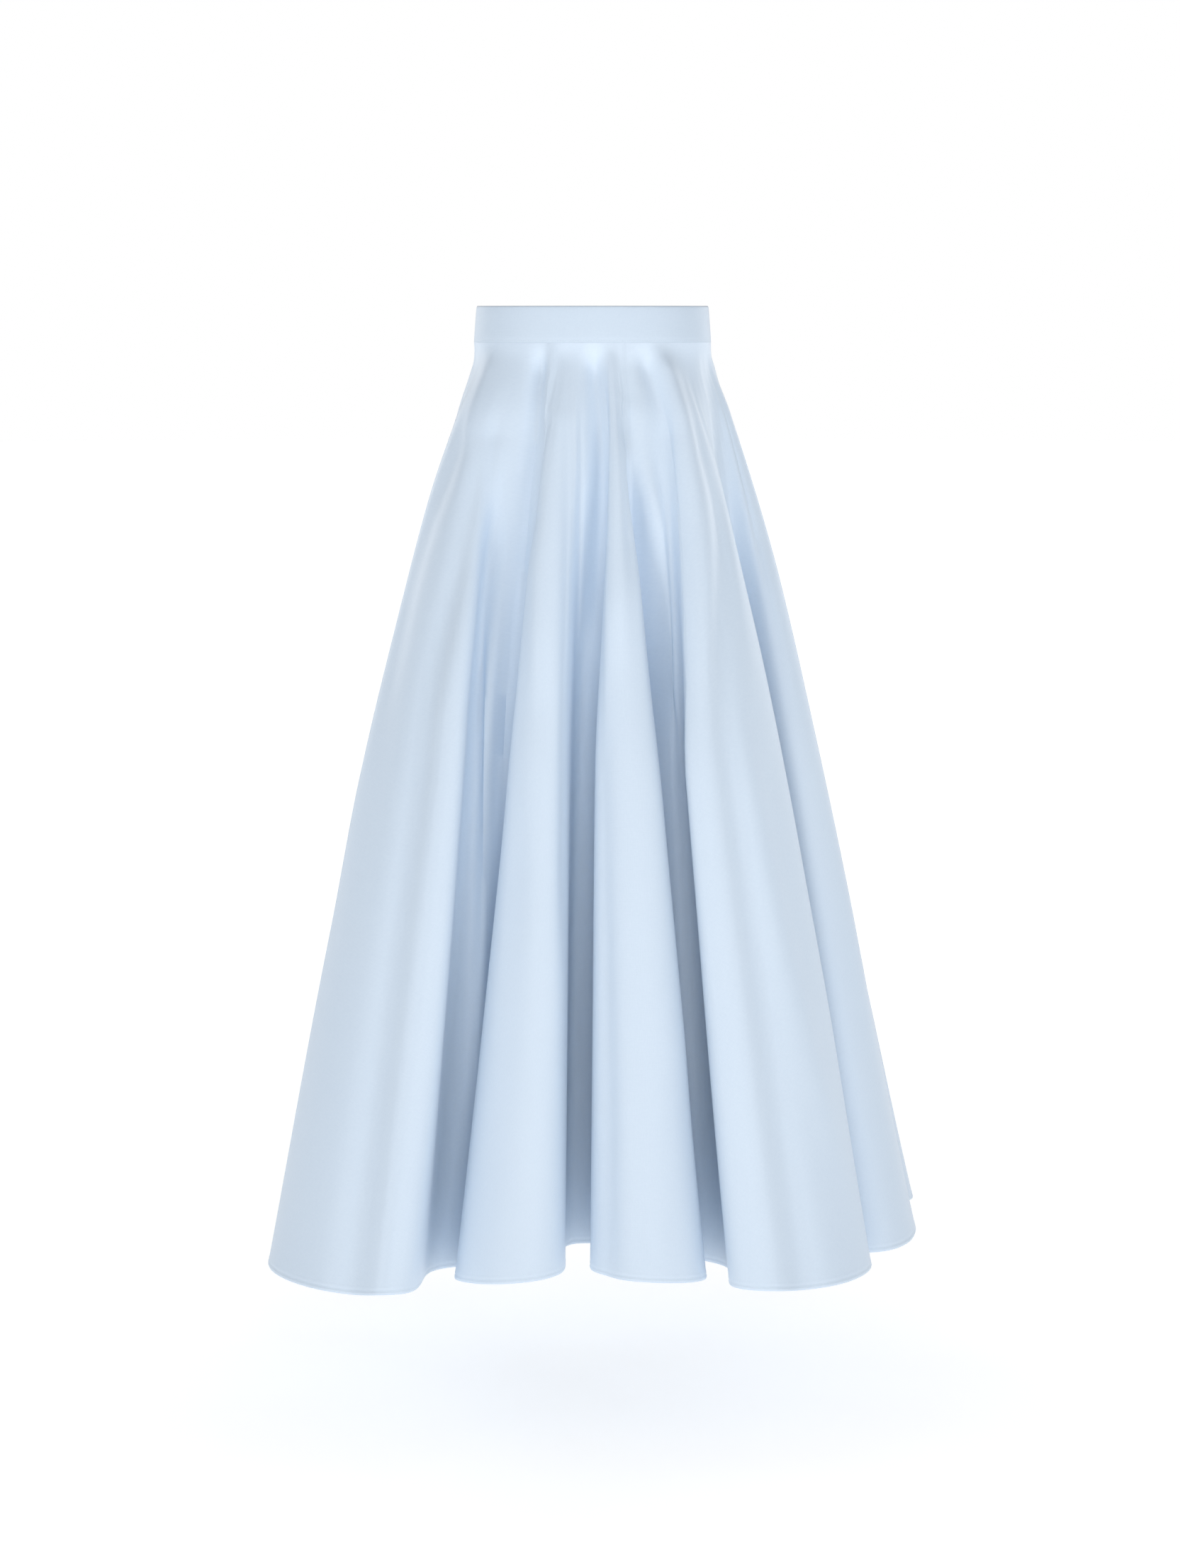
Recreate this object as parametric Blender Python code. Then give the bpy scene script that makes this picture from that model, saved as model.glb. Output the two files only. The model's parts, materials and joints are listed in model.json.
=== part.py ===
"""Circle skirt, filled out as it hangs when worn, with no wearer.

Metres, +Z up, the front faces -Y and the wearer's right is at -X. The origin is the centre of the
waistband at half its height. The skirt is a full circle: a half circle in front and two quarter circles
behind, which meet at the side seams and in the centre back seam, where a concealed zip closes it.

Each level of the skirt is one closed curve of rounded folds. FOLDS gives the folds in order round the body,
and the rest is worked out from it, so a panel, its seams and the zip's tapes all follow the same cloth.
"""

import math
from collections import namedtuple

import bmesh
import bpy
import numpy as np

# ---- Driving sizes -----------------------------------------------------------------------------------
CLOTH_WALL = 0.0012
BAND_WALL = 0.0024
GAP = 0.0003                    # between pieces that meet
SEAM_GAP = 0.0005               # between two panels, measured along the cloth

BAND_HEIGHT = 0.038
WAIST_HALF_WIDTH = 0.1252       # at the waist seam, to the middle of the cloth
WAIST_HALF_DEPTH = 0.0940
BAND_TOP_SHARE = 0.976          # the band leans in a little towards its top
BAND_FACETS = 72
BAND_SLIT = 0.0018              # centre back opening, closed by the zip

CUT_LENGTH = 0.965              # waist seam to hem, measured down a fold
HEM_DROP = 0.940                # the same, measured straight down
BIAS_DROP = 0.018               # how much lower the cloth hangs where it lies on the bias
BELL = 0.28                     # how much faster than a plain cone the skirt leaves the waist
BELL_FADE = 1.6                 # how soon that fades on the way down
YOKE_CURL = 0.30                # how far a fold has curled at the yoke, as a share of its curl at the knee
WAIST_EASE = 0.08               # over this length the cloth leaves the oval of the waist seam
SWELL_START = 0.10              # length from which the folds swell towards their neighbours
SWELL_RISE = 0.6                # below 1 they swell sooner

# Lengths down the skirt at which a panel has a row of corners, closer where it bends more.
ROWS = (0.0, 0.03, 0.075, 0.13, 0.20, 0.28, 0.37, 0.46, 0.56, 0.66, 0.76, 0.86, CUT_LENGTH)
CORNERS_PER_SIDE = 7            # corners from the crest of a fold to the bottom of the next valley
TURN_WEIGHT = 0.03              # metres of cloth that one radian of turning counts as, in spacing corners
SHARP_EDGE = math.radians(50)

# ---- The folds ---------------------------------------------------------------------------------------
# Angles are degrees round the body from the centre front, growing towards +X. A value with three numbers
# holds at the yoke, the knee and the hem.
#   crest   where the fold stands out        valley  where the cloth turns in after the fold
#   reach   its radius at the hem            depth   how far in from the crests that valley lies
#   flat    below 1 its front is broad
#   left, right   its two sides: (curl at the knee, curl at the hem, swell at the hem)
Fold = namedtuple("Fold", "name crest reach flat left right valley depth")
STATIONS = (0.0, 0.10, 0.45, CUT_LENGTH)
FOLDS = (
    Fold("front_left", crest=(-70, -59, -50), reach=0.405, flat=0.70,
         left=(1.00, 0.90, 0.16), right=(1.05, 1.30, 0.30),
         valley=(-28.6, -27.5, -29.5), depth=(0.018, 0.080, 0.190)),
    Fold("centre_left", crest=(-18, -14.4, -16.3), reach=0.330, flat=1.30,
         left=(1.10, 1.05, 0.42), right=(0.85, 1.10, 0.18),
         valley=(2.7, -3.6, -3.5), depth=(0.012, 0.084, 0.160)),
    Fold("centre_right", crest=(13, 10.5, 12.2), reach=0.328, flat=1.30,
         left=(1.05, 1.10, 0.18), right=(1.10, 1.00, 0.36),
         valley=(21, 22.5, 24.5), depth=(0.014, 0.084, 0.150)),
    Fold("front_right", crest=(51, 46.5, 42.5), reach=0.370, flat=0.75,
         left=(1.35, 1.45, 0.28), right=(1.20, 1.15, 0.34),
         valley=(72, 65.5, 59), depth=(0.012, 0.085, 0.190)),
    Fold("side_right", crest=(84, 77, 70), reach=0.362, flat=1.00,
         left=(1.00, 1.00, 0.28), right=(1.00, 0.90, 0.28),
         valley=(93, 91, 88), depth=(0.010, 0.090, 0.190)),
    Fold("back_right_1", crest=(106, 105, 104), reach=0.362, flat=0.90,
         left=(1.00, 1.00, 0.28), right=(1.00, 1.00, 0.28),
         valley=(120, 120, 119), depth=(0.014, 0.100, 0.200)),
    Fold("back_right_2", crest=(136, 135, 134), reach=0.352, flat=1.00,
         left=(1.00, 1.00, 0.28), right=(1.00, 1.00, 0.28),
         valley=(150, 149, 148), depth=(0.012, 0.095, 0.200)),
    Fold("back_right_3", crest=(165, 164, 163), reach=0.368, flat=0.85,
         left=(1.00, 1.00, 0.28), right=(1.00, 1.00, 0.28),
         valley=(180, 179, 178), depth=(0.009, 0.095, 0.205)),
    Fold("back_left_3", crest=(196, 195, 195), reach=0.358, flat=0.90,
         left=(1.00, 1.00, 0.28), right=(1.00, 1.00, 0.26),
         valley=(213, 212, 212), depth=(0.014, 0.100, 0.205)),
    Fold("back_left_2", crest=(229, 230, 231), reach=0.372, flat=0.80,
         left=(1.00, 1.00, 0.26), right=(1.00, 1.00, 0.26),
         valley=(247, 249, 251), depth=(0.012, 0.100, 0.205)),
    Fold("side_left", crest=(260, 264, 270), reach=0.334, flat=1.00,
         left=(1.00, 1.00, 0.26), right=(1.00, 1.00, 0.24),
         valley=(276, 284, 292), depth=(0.008, 0.080, 0.175)),
)
# Each panel takes whole folds, from the valley before its first one to the valley after its last one.
PANELS = {"skirt_front": (0, 5), "skirt_back_right": (5, 8), "skirt_back_left": (8, 11)}

# ---- The zip -----------------------------------------------------------------------------------------
TAPE_WIDTH = 0.011
TAPE_WALL = 0.0010
TAPE_EDGE = 0.0016              # from the centre back to the tape's near edge
TAPE_CLEAR = 0.0009             # between a tape and the cloth it is sewn to
TAPE_LENGTH = 0.200             # below the waist seam
TAPE_BELOW_TOP = 0.003          # how far its top end is turned down below the band's top edge
TAPE_PAST_BAND = 0.0015         # it stays level with the band until this far below it
TAPE_STEP = 0.05                # radians between the points of the band that a tape follows
SLIDER_CLEAR = 0.0007           # between the slider's body and the tapes, which curve
SLIDER_HEIGHT = 0.0080
SLIDER_WIDTH = 0.0058
SLIDER_THICK = 0.0024
SLIDER_Z = 0.0125               # middle of the closed slider
NECK_WIDTH = 0.0010
BRIDGE_WIDTH = 0.0018
BRIDGE_HEIGHT = 0.0050
BRIDGE_STAND = 0.0030           # how far the bridge stands out of the band
BRIDGE_BAR = 0.0008
BRIDGE_PLATE = 0.0004           # the plate under the bridge, next to the band
BRIDGE_SINK = 0.0002            # how far the bridge's parts run into each other
PIN_HALF = 0.0004               # half the thickness of the square pin
PULL_LENGTH = 0.0240
PULL_WIDTH = 0.0056
PULL_THICK = 0.0010
PULL_ARM = 0.0012               # width of the pull's two arms beside the bridge
PULL_WINDOW = 0.0062            # height of the window that the bridge passes through
PULL_ABOVE_PIN = 0.0008         # from the pin's middle to the top of the arms
PULL_REST = math.radians(1.0)   # how much further out than the band the hanging tab leans


def clear_scene():
    for obj in list(bpy.data.objects):
        bpy.data.objects.remove(obj)


def between(stations, values, at):
    """A smooth curve through the values that never overshoots them, read at one place."""
    x = np.asarray(stations, float)
    y = np.asarray(values, float)
    step = np.diff(x)
    slope = np.diff(y) / step
    lean = np.zeros(len(x))
    lean[0] = slope[0]
    lean[-1] = slope[-1]
    for i in range(1, len(x) - 1):
        if slope[i - 1] * slope[i] > 0:
            first = 2 * step[i] + step[i - 1]
            second = step[i] + 2 * step[i - 1]
            lean[i] = (first + second) / (first / slope[i - 1] + second / slope[i])
    i = int(np.clip(np.searchsorted(x, at) - 1, 0, len(x) - 2))
    t = (at - x[i]) / step[i]
    rise = y[i] * (1 + 2 * t) * (1 - t) ** 2 + y[i + 1] * t * t * (3 - 2 * t)
    return rise + step[i] * (lean[i] * t * (1 - t) ** 2 + lean[i + 1] * t * t * (t - 1))


def angle_at(three, length):
    """A crest's or valley's angle in radians: above the yoke it stays where it is at the yoke."""
    return math.radians(between(STATIONS, (three[0], *three), length))


def waist_radius(angle):
    """Radius of the oval waist seam in one direction."""
    across = WAIST_HALF_DEPTH * np.sin(angle)
    ahead = WAIST_HALF_WIDTH * np.cos(angle)
    return WAIST_HALF_WIDTH * WAIST_HALF_DEPTH / np.sqrt(across**2 + ahead**2)


def crest_radius(fold, angle, length):
    t = length / CUT_LENGTH
    share = t + BELL * t * (1 - t) ** BELL_FADE
    return waist_radius(angle) + (fold.reach - waist_radius(angle)) * share


def fold_side(crest, valley, flat, side, t, length):
    """Points of one side of a fold, from its crest (t = 0) to the bottom of its valley (t = 1).

    crest and valley are (angle, radius), and side is the fold's left or right.
    """
    knee_curl, hem_curl, swell = side
    curl = between(STATIONS, (0.0, YOKE_CURL * knee_curl, knee_curl, hem_curl), length)
    hang = np.clip((length - SWELL_START) / (CUT_LENGTH - SWELL_START), 0, 1) ** SWELL_RISE
    turn = t + curl / math.pi * np.sin(2 * math.pi * t) + swell * hang * np.sin(math.pi * t)
    out = (0.5 + 0.5 * np.cos(math.pi * t)) ** (1 + (flat - 1) * hang)
    angle = crest[0] + (valley[0] - crest[0]) * turn
    radius = valley[1] + (crest[1] - valley[1]) * out
    return np.stack([radius * np.sin(angle), -radius * np.cos(angle)], axis=1)


def spread(points, count):
    """count corners along a run of points, closer together where it turns."""
    leg = np.diff(points, axis=0)
    heading = np.unwrap(np.arctan2(leg[:, 1], leg[:, 0]))
    turn = np.abs(np.diff(heading, prepend=heading[0]))
    walked = np.concatenate([[0], np.cumsum(np.linalg.norm(leg, axis=1) + TURN_WEIGHT * turn)])
    wanted = np.linspace(0, walked[-1], count + 1)
    return np.stack([np.interp(wanted, walked, points[:, axis]) for axis in (0, 1)], axis=1)


def valley_between(first, second, crests, length, full_turn=0.0):
    """(angle, radius) of the bottom of the valley between two neighbouring folds."""
    owner = FOLDS[first]
    level = 0.5 * (crests[first][1] + crests[second][1])
    depth = between(STATIONS, (0.0, *owner.depth), length)
    return angle_at(owner.valley, length) - full_turn, level - depth


def ring(length, corners=CORNERS_PER_SIDE, fine=48):
    """The closed curve of one level, as corners that start at the valley before the first fold."""
    angles = [angle_at(fold.crest, length) for fold in FOLDS]
    crests = [(a, crest_radius(fold, a, length)) for fold, a in zip(FOLDS, angles)]
    t = np.linspace(0, 1, fine + 1)
    sides = []
    for i, fold in enumerate(FOLDS):
        full_turn = 0.0 if i else 2 * math.pi
        before = valley_between(i - 1, i, crests, length, full_turn)
        after = valley_between(i, (i + 1) % len(FOLDS), crests, length)
        left = fold_side(crests[i], before, fold.flat, fold.left, t, length)
        right = fold_side(crests[i], after, fold.flat, fold.right, t, length)
        sides += [spread(left[::-1], corners)[:-1], spread(right, corners)[:-1]]
    level = np.vstack(sides)
    oval = waist_radius(np.arctan2(level[:, 0], -level[:, 1])) / np.linalg.norm(level, axis=1)
    ease = max(0.0, 1 - length / WAIST_EASE) ** 2
    return level * (1 + ease * (oval - 1))[:, None]


def height_at(points, length):
    """Height of a level's corners: it sinks a little where the cloth lies on the bias."""
    angle = np.arctan2(points[:, 0], -points[:, 1])
    t = length / CUT_LENGTH
    return -0.5 * BAND_HEIGHT - GAP - HEM_DROP * t - BIAS_DROP * np.sin(2 * angle) ** 2 * t * t


def cloth(rows, corners=CORNERS_PER_SIDE):
    """The whole skirt as (row, corner, xyz), through the middle of its cloth, and its outward normals.

    The top row's normals are level, so that the edge under the waistband is level too.
    """
    points = []
    for length in rows:
        level = ring(length, corners)
        points.append(np.column_stack([level, height_at(level, length)]))
    points = np.array(points)
    along = np.roll(points, -1, axis=1) - np.roll(points, 1, axis=1)
    down = np.gradient(points, axis=0)
    normals = np.cross(down, along)
    normals[0, :, 2] = 0.0
    normals /= np.linalg.norm(normals, axis=2, keepdims=True)
    return points, normals


def shrink_ends(points, gap):
    """Draws the first and last column of a piece in, so that it stays clear of its neighbour."""
    for end, beside in ((0, 1), (-1, -2)):
        way = points[:, beside] - points[:, end]
        points[:, end] += way / np.linalg.norm(way, axis=1, keepdims=True) * gap
    return points


def material(name, colour, roughness, metallic=0.0):
    made = bpy.data.materials.new(name)
    made.use_nodes = True
    shader = made.node_tree.nodes["Principled BSDF"]
    shader.inputs["Base Color"].default_value = (*colour, 1.0)
    shader.inputs["Roughness"].default_value = roughness
    shader.inputs["Metallic"].default_value = metallic
    return made


def wall(name, outer, inner, finish):
    """A closed wall between two grids of corners: its faces, and a strip round its four edges."""
    rows, columns = outer.shape[:2]
    count = rows * columns
    bm = bmesh.new()
    corners = [bm.verts.new(p) for p in np.vstack([outer.reshape(-1, 3), inner.reshape(-1, 3)])]

    def at(row, column, side):
        return corners[side * count + row * columns + column]

    for row in range(rows - 1):
        for column in range(columns - 1):
            square = ((row, column), (row + 1, column), (row + 1, column + 1), (row, column + 1))
            bm.faces.new([at(*corner, 0) for corner in square])
            bm.faces.new([at(*corner, 1) for corner in reversed(square)])
    border = [(0, c) for c in range(columns - 1)] + [(r, columns - 1) for r in range(rows - 1)]
    border += [(rows - 1, c) for c in range(columns - 1, 0, -1)] + [(r, 0) for r in range(rows - 1, 0, -1)]
    for here, there in zip(border, border[1:] + border[:1]):
        bm.faces.new([at(*here, 0), at(*there, 0), at(*there, 1), at(*here, 1)])
    bmesh.ops.recalc_face_normals(bm, faces=bm.faces)
    bmesh.ops.triangulate(bm, faces=bm.faces)
    mesh = bpy.data.meshes.new(name)
    bm.to_mesh(mesh)
    bm.free()
    mesh.materials.append(finish)
    mesh.shade_smooth()
    mesh.set_sharp_from_angle(angle=SHARP_EDGE)
    bpy.context.collection.objects.link(bpy.data.objects.new(name, mesh))


def make_panels(satin):
    points, normals = cloth(ROWS)
    total = points.shape[1]
    per_fold = 2 * CORNERS_PER_SIDE
    for name, (first, last) in PANELS.items():
        columns = np.arange(first * per_fold, last * per_fold + 1) % total
        outer = points[:, columns] + 0.5 * CLOTH_WALL * normals[:, columns]
        inner = points[:, columns] - 0.5 * CLOTH_WALL * normals[:, columns]
        wall(name, shrink_ends(outer, 0.5 * SEAM_GAP), shrink_ends(inner, 0.5 * SEAM_GAP), satin)


def band_line(height, offset, angles):
    """Points of the waistband at one height, offset outwards from the middle of its wall."""
    lean = 1 + (BAND_TOP_SHARE - 1) * (height / BAND_HEIGHT + 0.5)
    half_width = WAIST_HALF_WIDTH * lean
    half_depth = WAIST_HALF_DEPTH * lean
    x = half_width * np.sin(angles)
    y = -half_depth * np.cos(angles)
    out = np.stack([x / half_width**2, y / half_depth**2], axis=1)
    out /= np.linalg.norm(out, axis=1, keepdims=True)
    return np.column_stack([np.stack([x, y], axis=1) + offset * out, np.full(len(angles), height)])


def make_waistband(satin):
    half_slit = math.asin(0.5 * BAND_SLIT / WAIST_HALF_WIDTH)
    angles = np.linspace(half_slit - math.pi, math.pi - half_slit, BAND_FACETS + 1)
    heights = (0.5 * BAND_HEIGHT, -0.5 * BAND_HEIGHT)
    outer = np.array([band_line(z, 0.5 * BAND_WALL, angles) for z in heights])
    inner = np.array([band_line(z, -0.5 * BAND_WALL, angles) for z in heights])
    wall("waistband", outer, inner, satin)


def walk(points, far):
    """The point of a run that lies a given way along it."""
    walked = np.concatenate([[0], np.cumsum(np.linalg.norm(np.diff(points, axis=0), axis=1))])
    return np.array([np.interp(far, walked, points[:, axis]) for axis in range(points.shape[1])])


def make_zip_tapes(tape_cloth):
    """A tape on each side of the centre back, inside the band and the panels that it is sewn to."""
    seam = PANELS["skirt_back_left"][0] * 2 * CORNERS_PER_SIDE
    lengths = [length for length in ROWS if length < TAPE_LENGTH] + [TAPE_LENGTH]
    points, normals = cloth(lengths)
    inset_cloth = 0.5 * CLOTH_WALL + TAPE_CLEAR
    inset_band = 0.5 * BAND_WALL + TAPE_CLEAR
    fars = np.linspace(TAPE_EDGE, TAPE_EDGE + TAPE_WIDTH, 3)
    reach = 1 + CORNERS_PER_SIDE
    band_heights = (0.5 * BAND_HEIGHT - TAPE_BELOW_TOP, 0.0, -0.5 * BAND_HEIGHT - TAPE_PAST_BAND)
    for name, side in (("zip_tape_right", -1), ("zip_tape_left", 1)):
        columns = seam + side * np.arange(reach)
        angles = math.pi + side * np.arange(reach) * TAPE_STEP
        near, away = [], []
        for height in band_heights:
            near.append([walk(band_line(height, -inset_band, angles), far) for far in fars])
            away.append([walk(band_line(height, -inset_band - TAPE_WALL, angles), far) for far in fars])
        for row in range(1, len(lengths)):
            run = points[row, columns]
            out = normals[row, columns]
            near.append([walk(run - inset_cloth * out, far) for far in fars])
            away.append([walk(run - (inset_cloth + TAPE_WALL) * out, far) for far in fars])
        wall(name, np.array(near), np.array(away), tape_cloth)


def box(bm, low, high):
    """Adds a box between two corners."""
    made = bmesh.ops.create_cube(bm, size=1.0)["verts"]
    for vert in made:
        for axis in range(3):
            vert.co[axis] = (low[axis] + high[axis]) / 2 + vert.co[axis] * (high[axis] - low[axis])


def joined(name, boxes, finish, parent=None):
    """Boxes joined into one solid with Boolean unions."""
    pieces = []
    for index, (low, high) in enumerate(boxes):
        bm = bmesh.new()
        box(bm, low, high)
        mesh = bpy.data.meshes.new(f"{name}_{index}")
        bm.to_mesh(mesh)
        bm.free()
        piece = bpy.data.objects.new(f"{name}_{index}", mesh)
        piece.parent = parent
        bpy.context.collection.objects.link(piece)
        pieces.append(piece)
    body = pieces[0]
    body.name = name
    body.data.materials.append(finish)
    for piece in pieces[1:]:
        piece.hide_render = True
        piece.display_type = "WIRE"
        union = body.modifiers.new(f"with {piece.name}", "BOOLEAN")
        union.operation = "UNION"
        union.object = piece


def band_back(height, offset):
    """How far back the waistband's wall reaches at the centre back."""
    return float(band_line(height, offset, np.array([math.pi]))[0, 1])


def band_lean():
    """Angle at which the band's outer face leans back from upright at the centre back."""
    half = 0.5 * BAND_HEIGHT
    return math.atan2(band_back(-half, 0.0) - band_back(half, 0.0), BAND_HEIGHT)


def make_zip_hardware(metal):
    """The slider behind the tapes, its bridge through the slit, and the pull tab that hangs from it."""
    low = SLIDER_Z - 0.5 * BRIDGE_HEIGHT
    high = SLIDER_Z + 0.5 * BRIDGE_HEIGHT
    inside = band_back(SLIDER_Z, -0.5 * BAND_WALL) - TAPE_CLEAR - TAPE_WALL - SLIDER_CLEAR
    outside = band_back(low, 0.5 * BAND_WALL) + GAP
    stand = outside + BRIDGE_STAND
    half = 0.5 * BRIDGE_WIDTH
    body = (
        (-0.5 * SLIDER_WIDTH, inside - SLIDER_THICK, SLIDER_Z - 0.5 * SLIDER_HEIGHT),
        (0.5 * SLIDER_WIDTH, inside, SLIDER_Z + 0.5 * SLIDER_HEIGHT),
    )
    neck = (
        (-0.5 * NECK_WIDTH, inside - BRIDGE_SINK, low),
        (0.5 * NECK_WIDTH, outside + BRIDGE_SINK, high),
    )
    plate = ((-half, outside, low), (half, outside + BRIDGE_PLATE, high))
    lower_foot = ((-half, outside, low), (half, stand, low + BRIDGE_BAR))
    upper_foot = ((-half, outside, high - BRIDGE_BAR), (half, stand, high))
    bar = ((-half, stand - BRIDGE_BAR, low), (half, stand, high))
    joined("zip_slider", (body, neck, plate, lower_foot, upper_foot, bar), metal)
    make_pull(0.5 * (outside + BRIDGE_PLATE + stand - BRIDGE_BAR), SLIDER_Z, metal)


def make_pull(pin_y, pin_z, metal):
    """The pull tab: a pin under the bridge's bar, an arm on each side of it, and the tab below them."""
    axis = bpy.data.objects.new("zip_pull_axis", None)
    axis.location = (0.0, pin_y, pin_z)
    axis.rotation_euler = (band_lean() + PULL_REST, 0.0, 0.0)
    bpy.context.collection.objects.link(axis)
    half = 0.5 * PULL_WIDTH
    arm_inside = half - PULL_ARM
    pin_half = arm_inside + BRIDGE_SINK
    thick = 0.5 * PULL_THICK
    tab = ((-half, -thick, -PULL_LENGTH), (half, thick, BRIDGE_SINK - PULL_WINDOW))
    pin = ((-pin_half, -PIN_HALF, -PIN_HALF), (pin_half, PIN_HALF, PIN_HALF))
    right_arm = ((-half, -thick, -PULL_WINDOW), (-arm_inside, thick, PULL_ABOVE_PIN))
    left_arm = ((arm_inside, -thick, -PULL_WINDOW), (half, thick, PULL_ABOVE_PIN))
    joined("zip_pull", (tab, pin, right_arm, left_arm), metal, parent=axis)


clear_scene()
satin = material("ice_blue_satin", (0.60, 0.73, 0.87), 0.45)
band_satin = material("ice_blue_band", (0.60, 0.73, 0.87), 0.45)
tape_weave = material("zip_tape_weave", (0.62, 0.74, 0.86), 0.8)
zip_metal = material("painted_zip_metal", (0.62, 0.74, 0.86), 0.35, 0.2)
make_panels(satin)
make_waistband(band_satin)
make_zip_tapes(tape_weave)
make_zip_hardware(zip_metal)
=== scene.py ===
# %% [markdown]
# # A circle skirt in pale satin
#
# A circle skirt is cut as a ring: a small circle for the waist, a large one for the hem. Sewn to a straight
# waistband it has far more cloth at the hem than at the hips, and the spare cloth falls into deep rounded
# folds. This lesson builds such a skirt round a imported frame, which fixes every size and place.
#
# The frame is loaded first, and its box is kept: its lowest point sets the height of the floor.

import json
import math
from collections import namedtuple

import bmesh
import bpy
import numpy as np
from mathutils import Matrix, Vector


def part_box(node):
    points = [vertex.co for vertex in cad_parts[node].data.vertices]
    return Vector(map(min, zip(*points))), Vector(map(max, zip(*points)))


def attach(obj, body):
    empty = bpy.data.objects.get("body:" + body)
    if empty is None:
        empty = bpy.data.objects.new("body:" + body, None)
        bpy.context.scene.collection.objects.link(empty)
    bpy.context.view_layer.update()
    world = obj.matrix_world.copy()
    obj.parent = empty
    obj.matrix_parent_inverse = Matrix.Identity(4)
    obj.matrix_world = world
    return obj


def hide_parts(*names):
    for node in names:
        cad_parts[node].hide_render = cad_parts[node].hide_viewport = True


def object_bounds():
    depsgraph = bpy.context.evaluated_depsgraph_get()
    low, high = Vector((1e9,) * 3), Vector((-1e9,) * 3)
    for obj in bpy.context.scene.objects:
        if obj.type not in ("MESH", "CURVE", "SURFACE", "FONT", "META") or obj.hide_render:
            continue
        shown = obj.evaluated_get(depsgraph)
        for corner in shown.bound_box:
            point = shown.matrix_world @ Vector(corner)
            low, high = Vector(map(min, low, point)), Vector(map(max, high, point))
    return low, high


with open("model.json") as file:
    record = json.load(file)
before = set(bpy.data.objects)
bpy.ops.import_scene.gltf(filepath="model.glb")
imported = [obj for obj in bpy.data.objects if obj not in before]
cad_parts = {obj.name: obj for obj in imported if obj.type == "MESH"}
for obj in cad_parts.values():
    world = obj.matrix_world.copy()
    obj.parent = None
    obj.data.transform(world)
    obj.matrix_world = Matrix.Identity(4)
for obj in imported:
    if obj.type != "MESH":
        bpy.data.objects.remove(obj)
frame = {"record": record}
frame_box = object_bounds()
hem_height = frame_box[0].z


def in_scene(name, data):
    """A new object in the scene, at the origin."""
    obj = bpy.data.objects.new(name, data)
    bpy.context.collection.objects.link(obj)
    return obj


print("frame", [[round(v, 3) for v in corner] for corner in frame_box])

# %% [markdown]
# ## Camera
#
# A garment is usually shown from a few metres away through a long lens, from about the height of its
# waist and tilted down a little, so that the hem's curve opens up without the waistband looking like a ring.

# %% Camera
CAMERA_DISTANCE = 4.0
CAMERA_SIDE = -0.0027
CAMERA_HEIGHT = 0.012
CAMERA_TILT = math.radians(7.206)
CAMERA_LENS = 85.6

camera_data = bpy.data.cameras.new("camera")
camera_data.lens = CAMERA_LENS
camera_data.sensor_width = 36.0
camera = in_scene("camera", camera_data)
camera.location = (CAMERA_SIDE, -CAMERA_DISTANCE, CAMERA_HEIGHT)
camera.rotation_euler = (math.pi / 2 - CAMERA_TILT, 0.0, 0.0)
bpy.context.scene.camera = camera
print("camera", tuple(round(v, 3) for v in camera.location))

# %% [markdown]
# ## Floor and light
#
# A plain pale floor runs out to the horizon under a white room, so there is no corner to catch the eye from
# any side. The main lamp stands close to the camera and a little to its right, so a fold is brightest where
# it faces the viewer. Two side lamps and the dim light of the room fill the valleys, two lamps behind light
# the back, and the floor glows a little, like a light table, so that the ground stays clean.

# %% Floor
FLOOR_BELOW_HEM = 0.16
FLOOR_RADIUS = 30.0
FLOOR_CORNERS = 96


def make_floor(height):
    """A wide round floor, one flat face."""
    turns = np.linspace(0, 2 * math.pi, FLOOR_CORNERS, endpoint=False)
    corners = [(FLOOR_RADIUS * math.cos(t), FLOOR_RADIUS * math.sin(t), height) for t in turns]
    mesh = bpy.data.meshes.new("floor")
    mesh.from_pydata(corners, [], [tuple(range(FLOOR_CORNERS))])
    floor = in_scene("floor", mesh)
    return floor


floor = make_floor(hem_height - FLOOR_BELOW_HEM)
print("floor at", round(hem_height - FLOOR_BELOW_HEM, 3))

# %% Light
ROOM_LIGHT = 0.34
Lamp = namedtuple("Lamp", "name place size power")
LAMPS = (
    Lamp("lamp_front", (0.35, -3.8, -0.05), 1.1, 20.5),
    Lamp("lamp_left", (-2.5, -2.6, -0.35), 1.5, 21.3),
    Lamp("lamp_right", (2.5, -2.6, -0.35), 1.5, 20.3),
    Lamp("lamp_back_left", (-2.5, 3.0, 0.6), 1.5, 22.0),
    Lamp("lamp_back_right", (2.6, 2.8, 0.5), 1.5, 20.0),
)
LAMP_TARGET = (0.0, 0.0, -0.5)


def make_lamp(lamp):
    data = bpy.data.lights.new(lamp.name, "AREA")
    data.shape = "SQUARE"
    data.size = lamp.size
    data.energy = lamp.power
    obj = in_scene(lamp.name, data)
    obj.location = lamp.place
    way = np.subtract(LAMP_TARGET, lamp.place)
    across = math.hypot(way[0], way[1])
    obj.rotation_euler = (math.atan2(across, -way[2]), 0.0, math.atan2(way[1], way[0]) - math.pi / 2)


for lamp in LAMPS:
    make_lamp(lamp)


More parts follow.
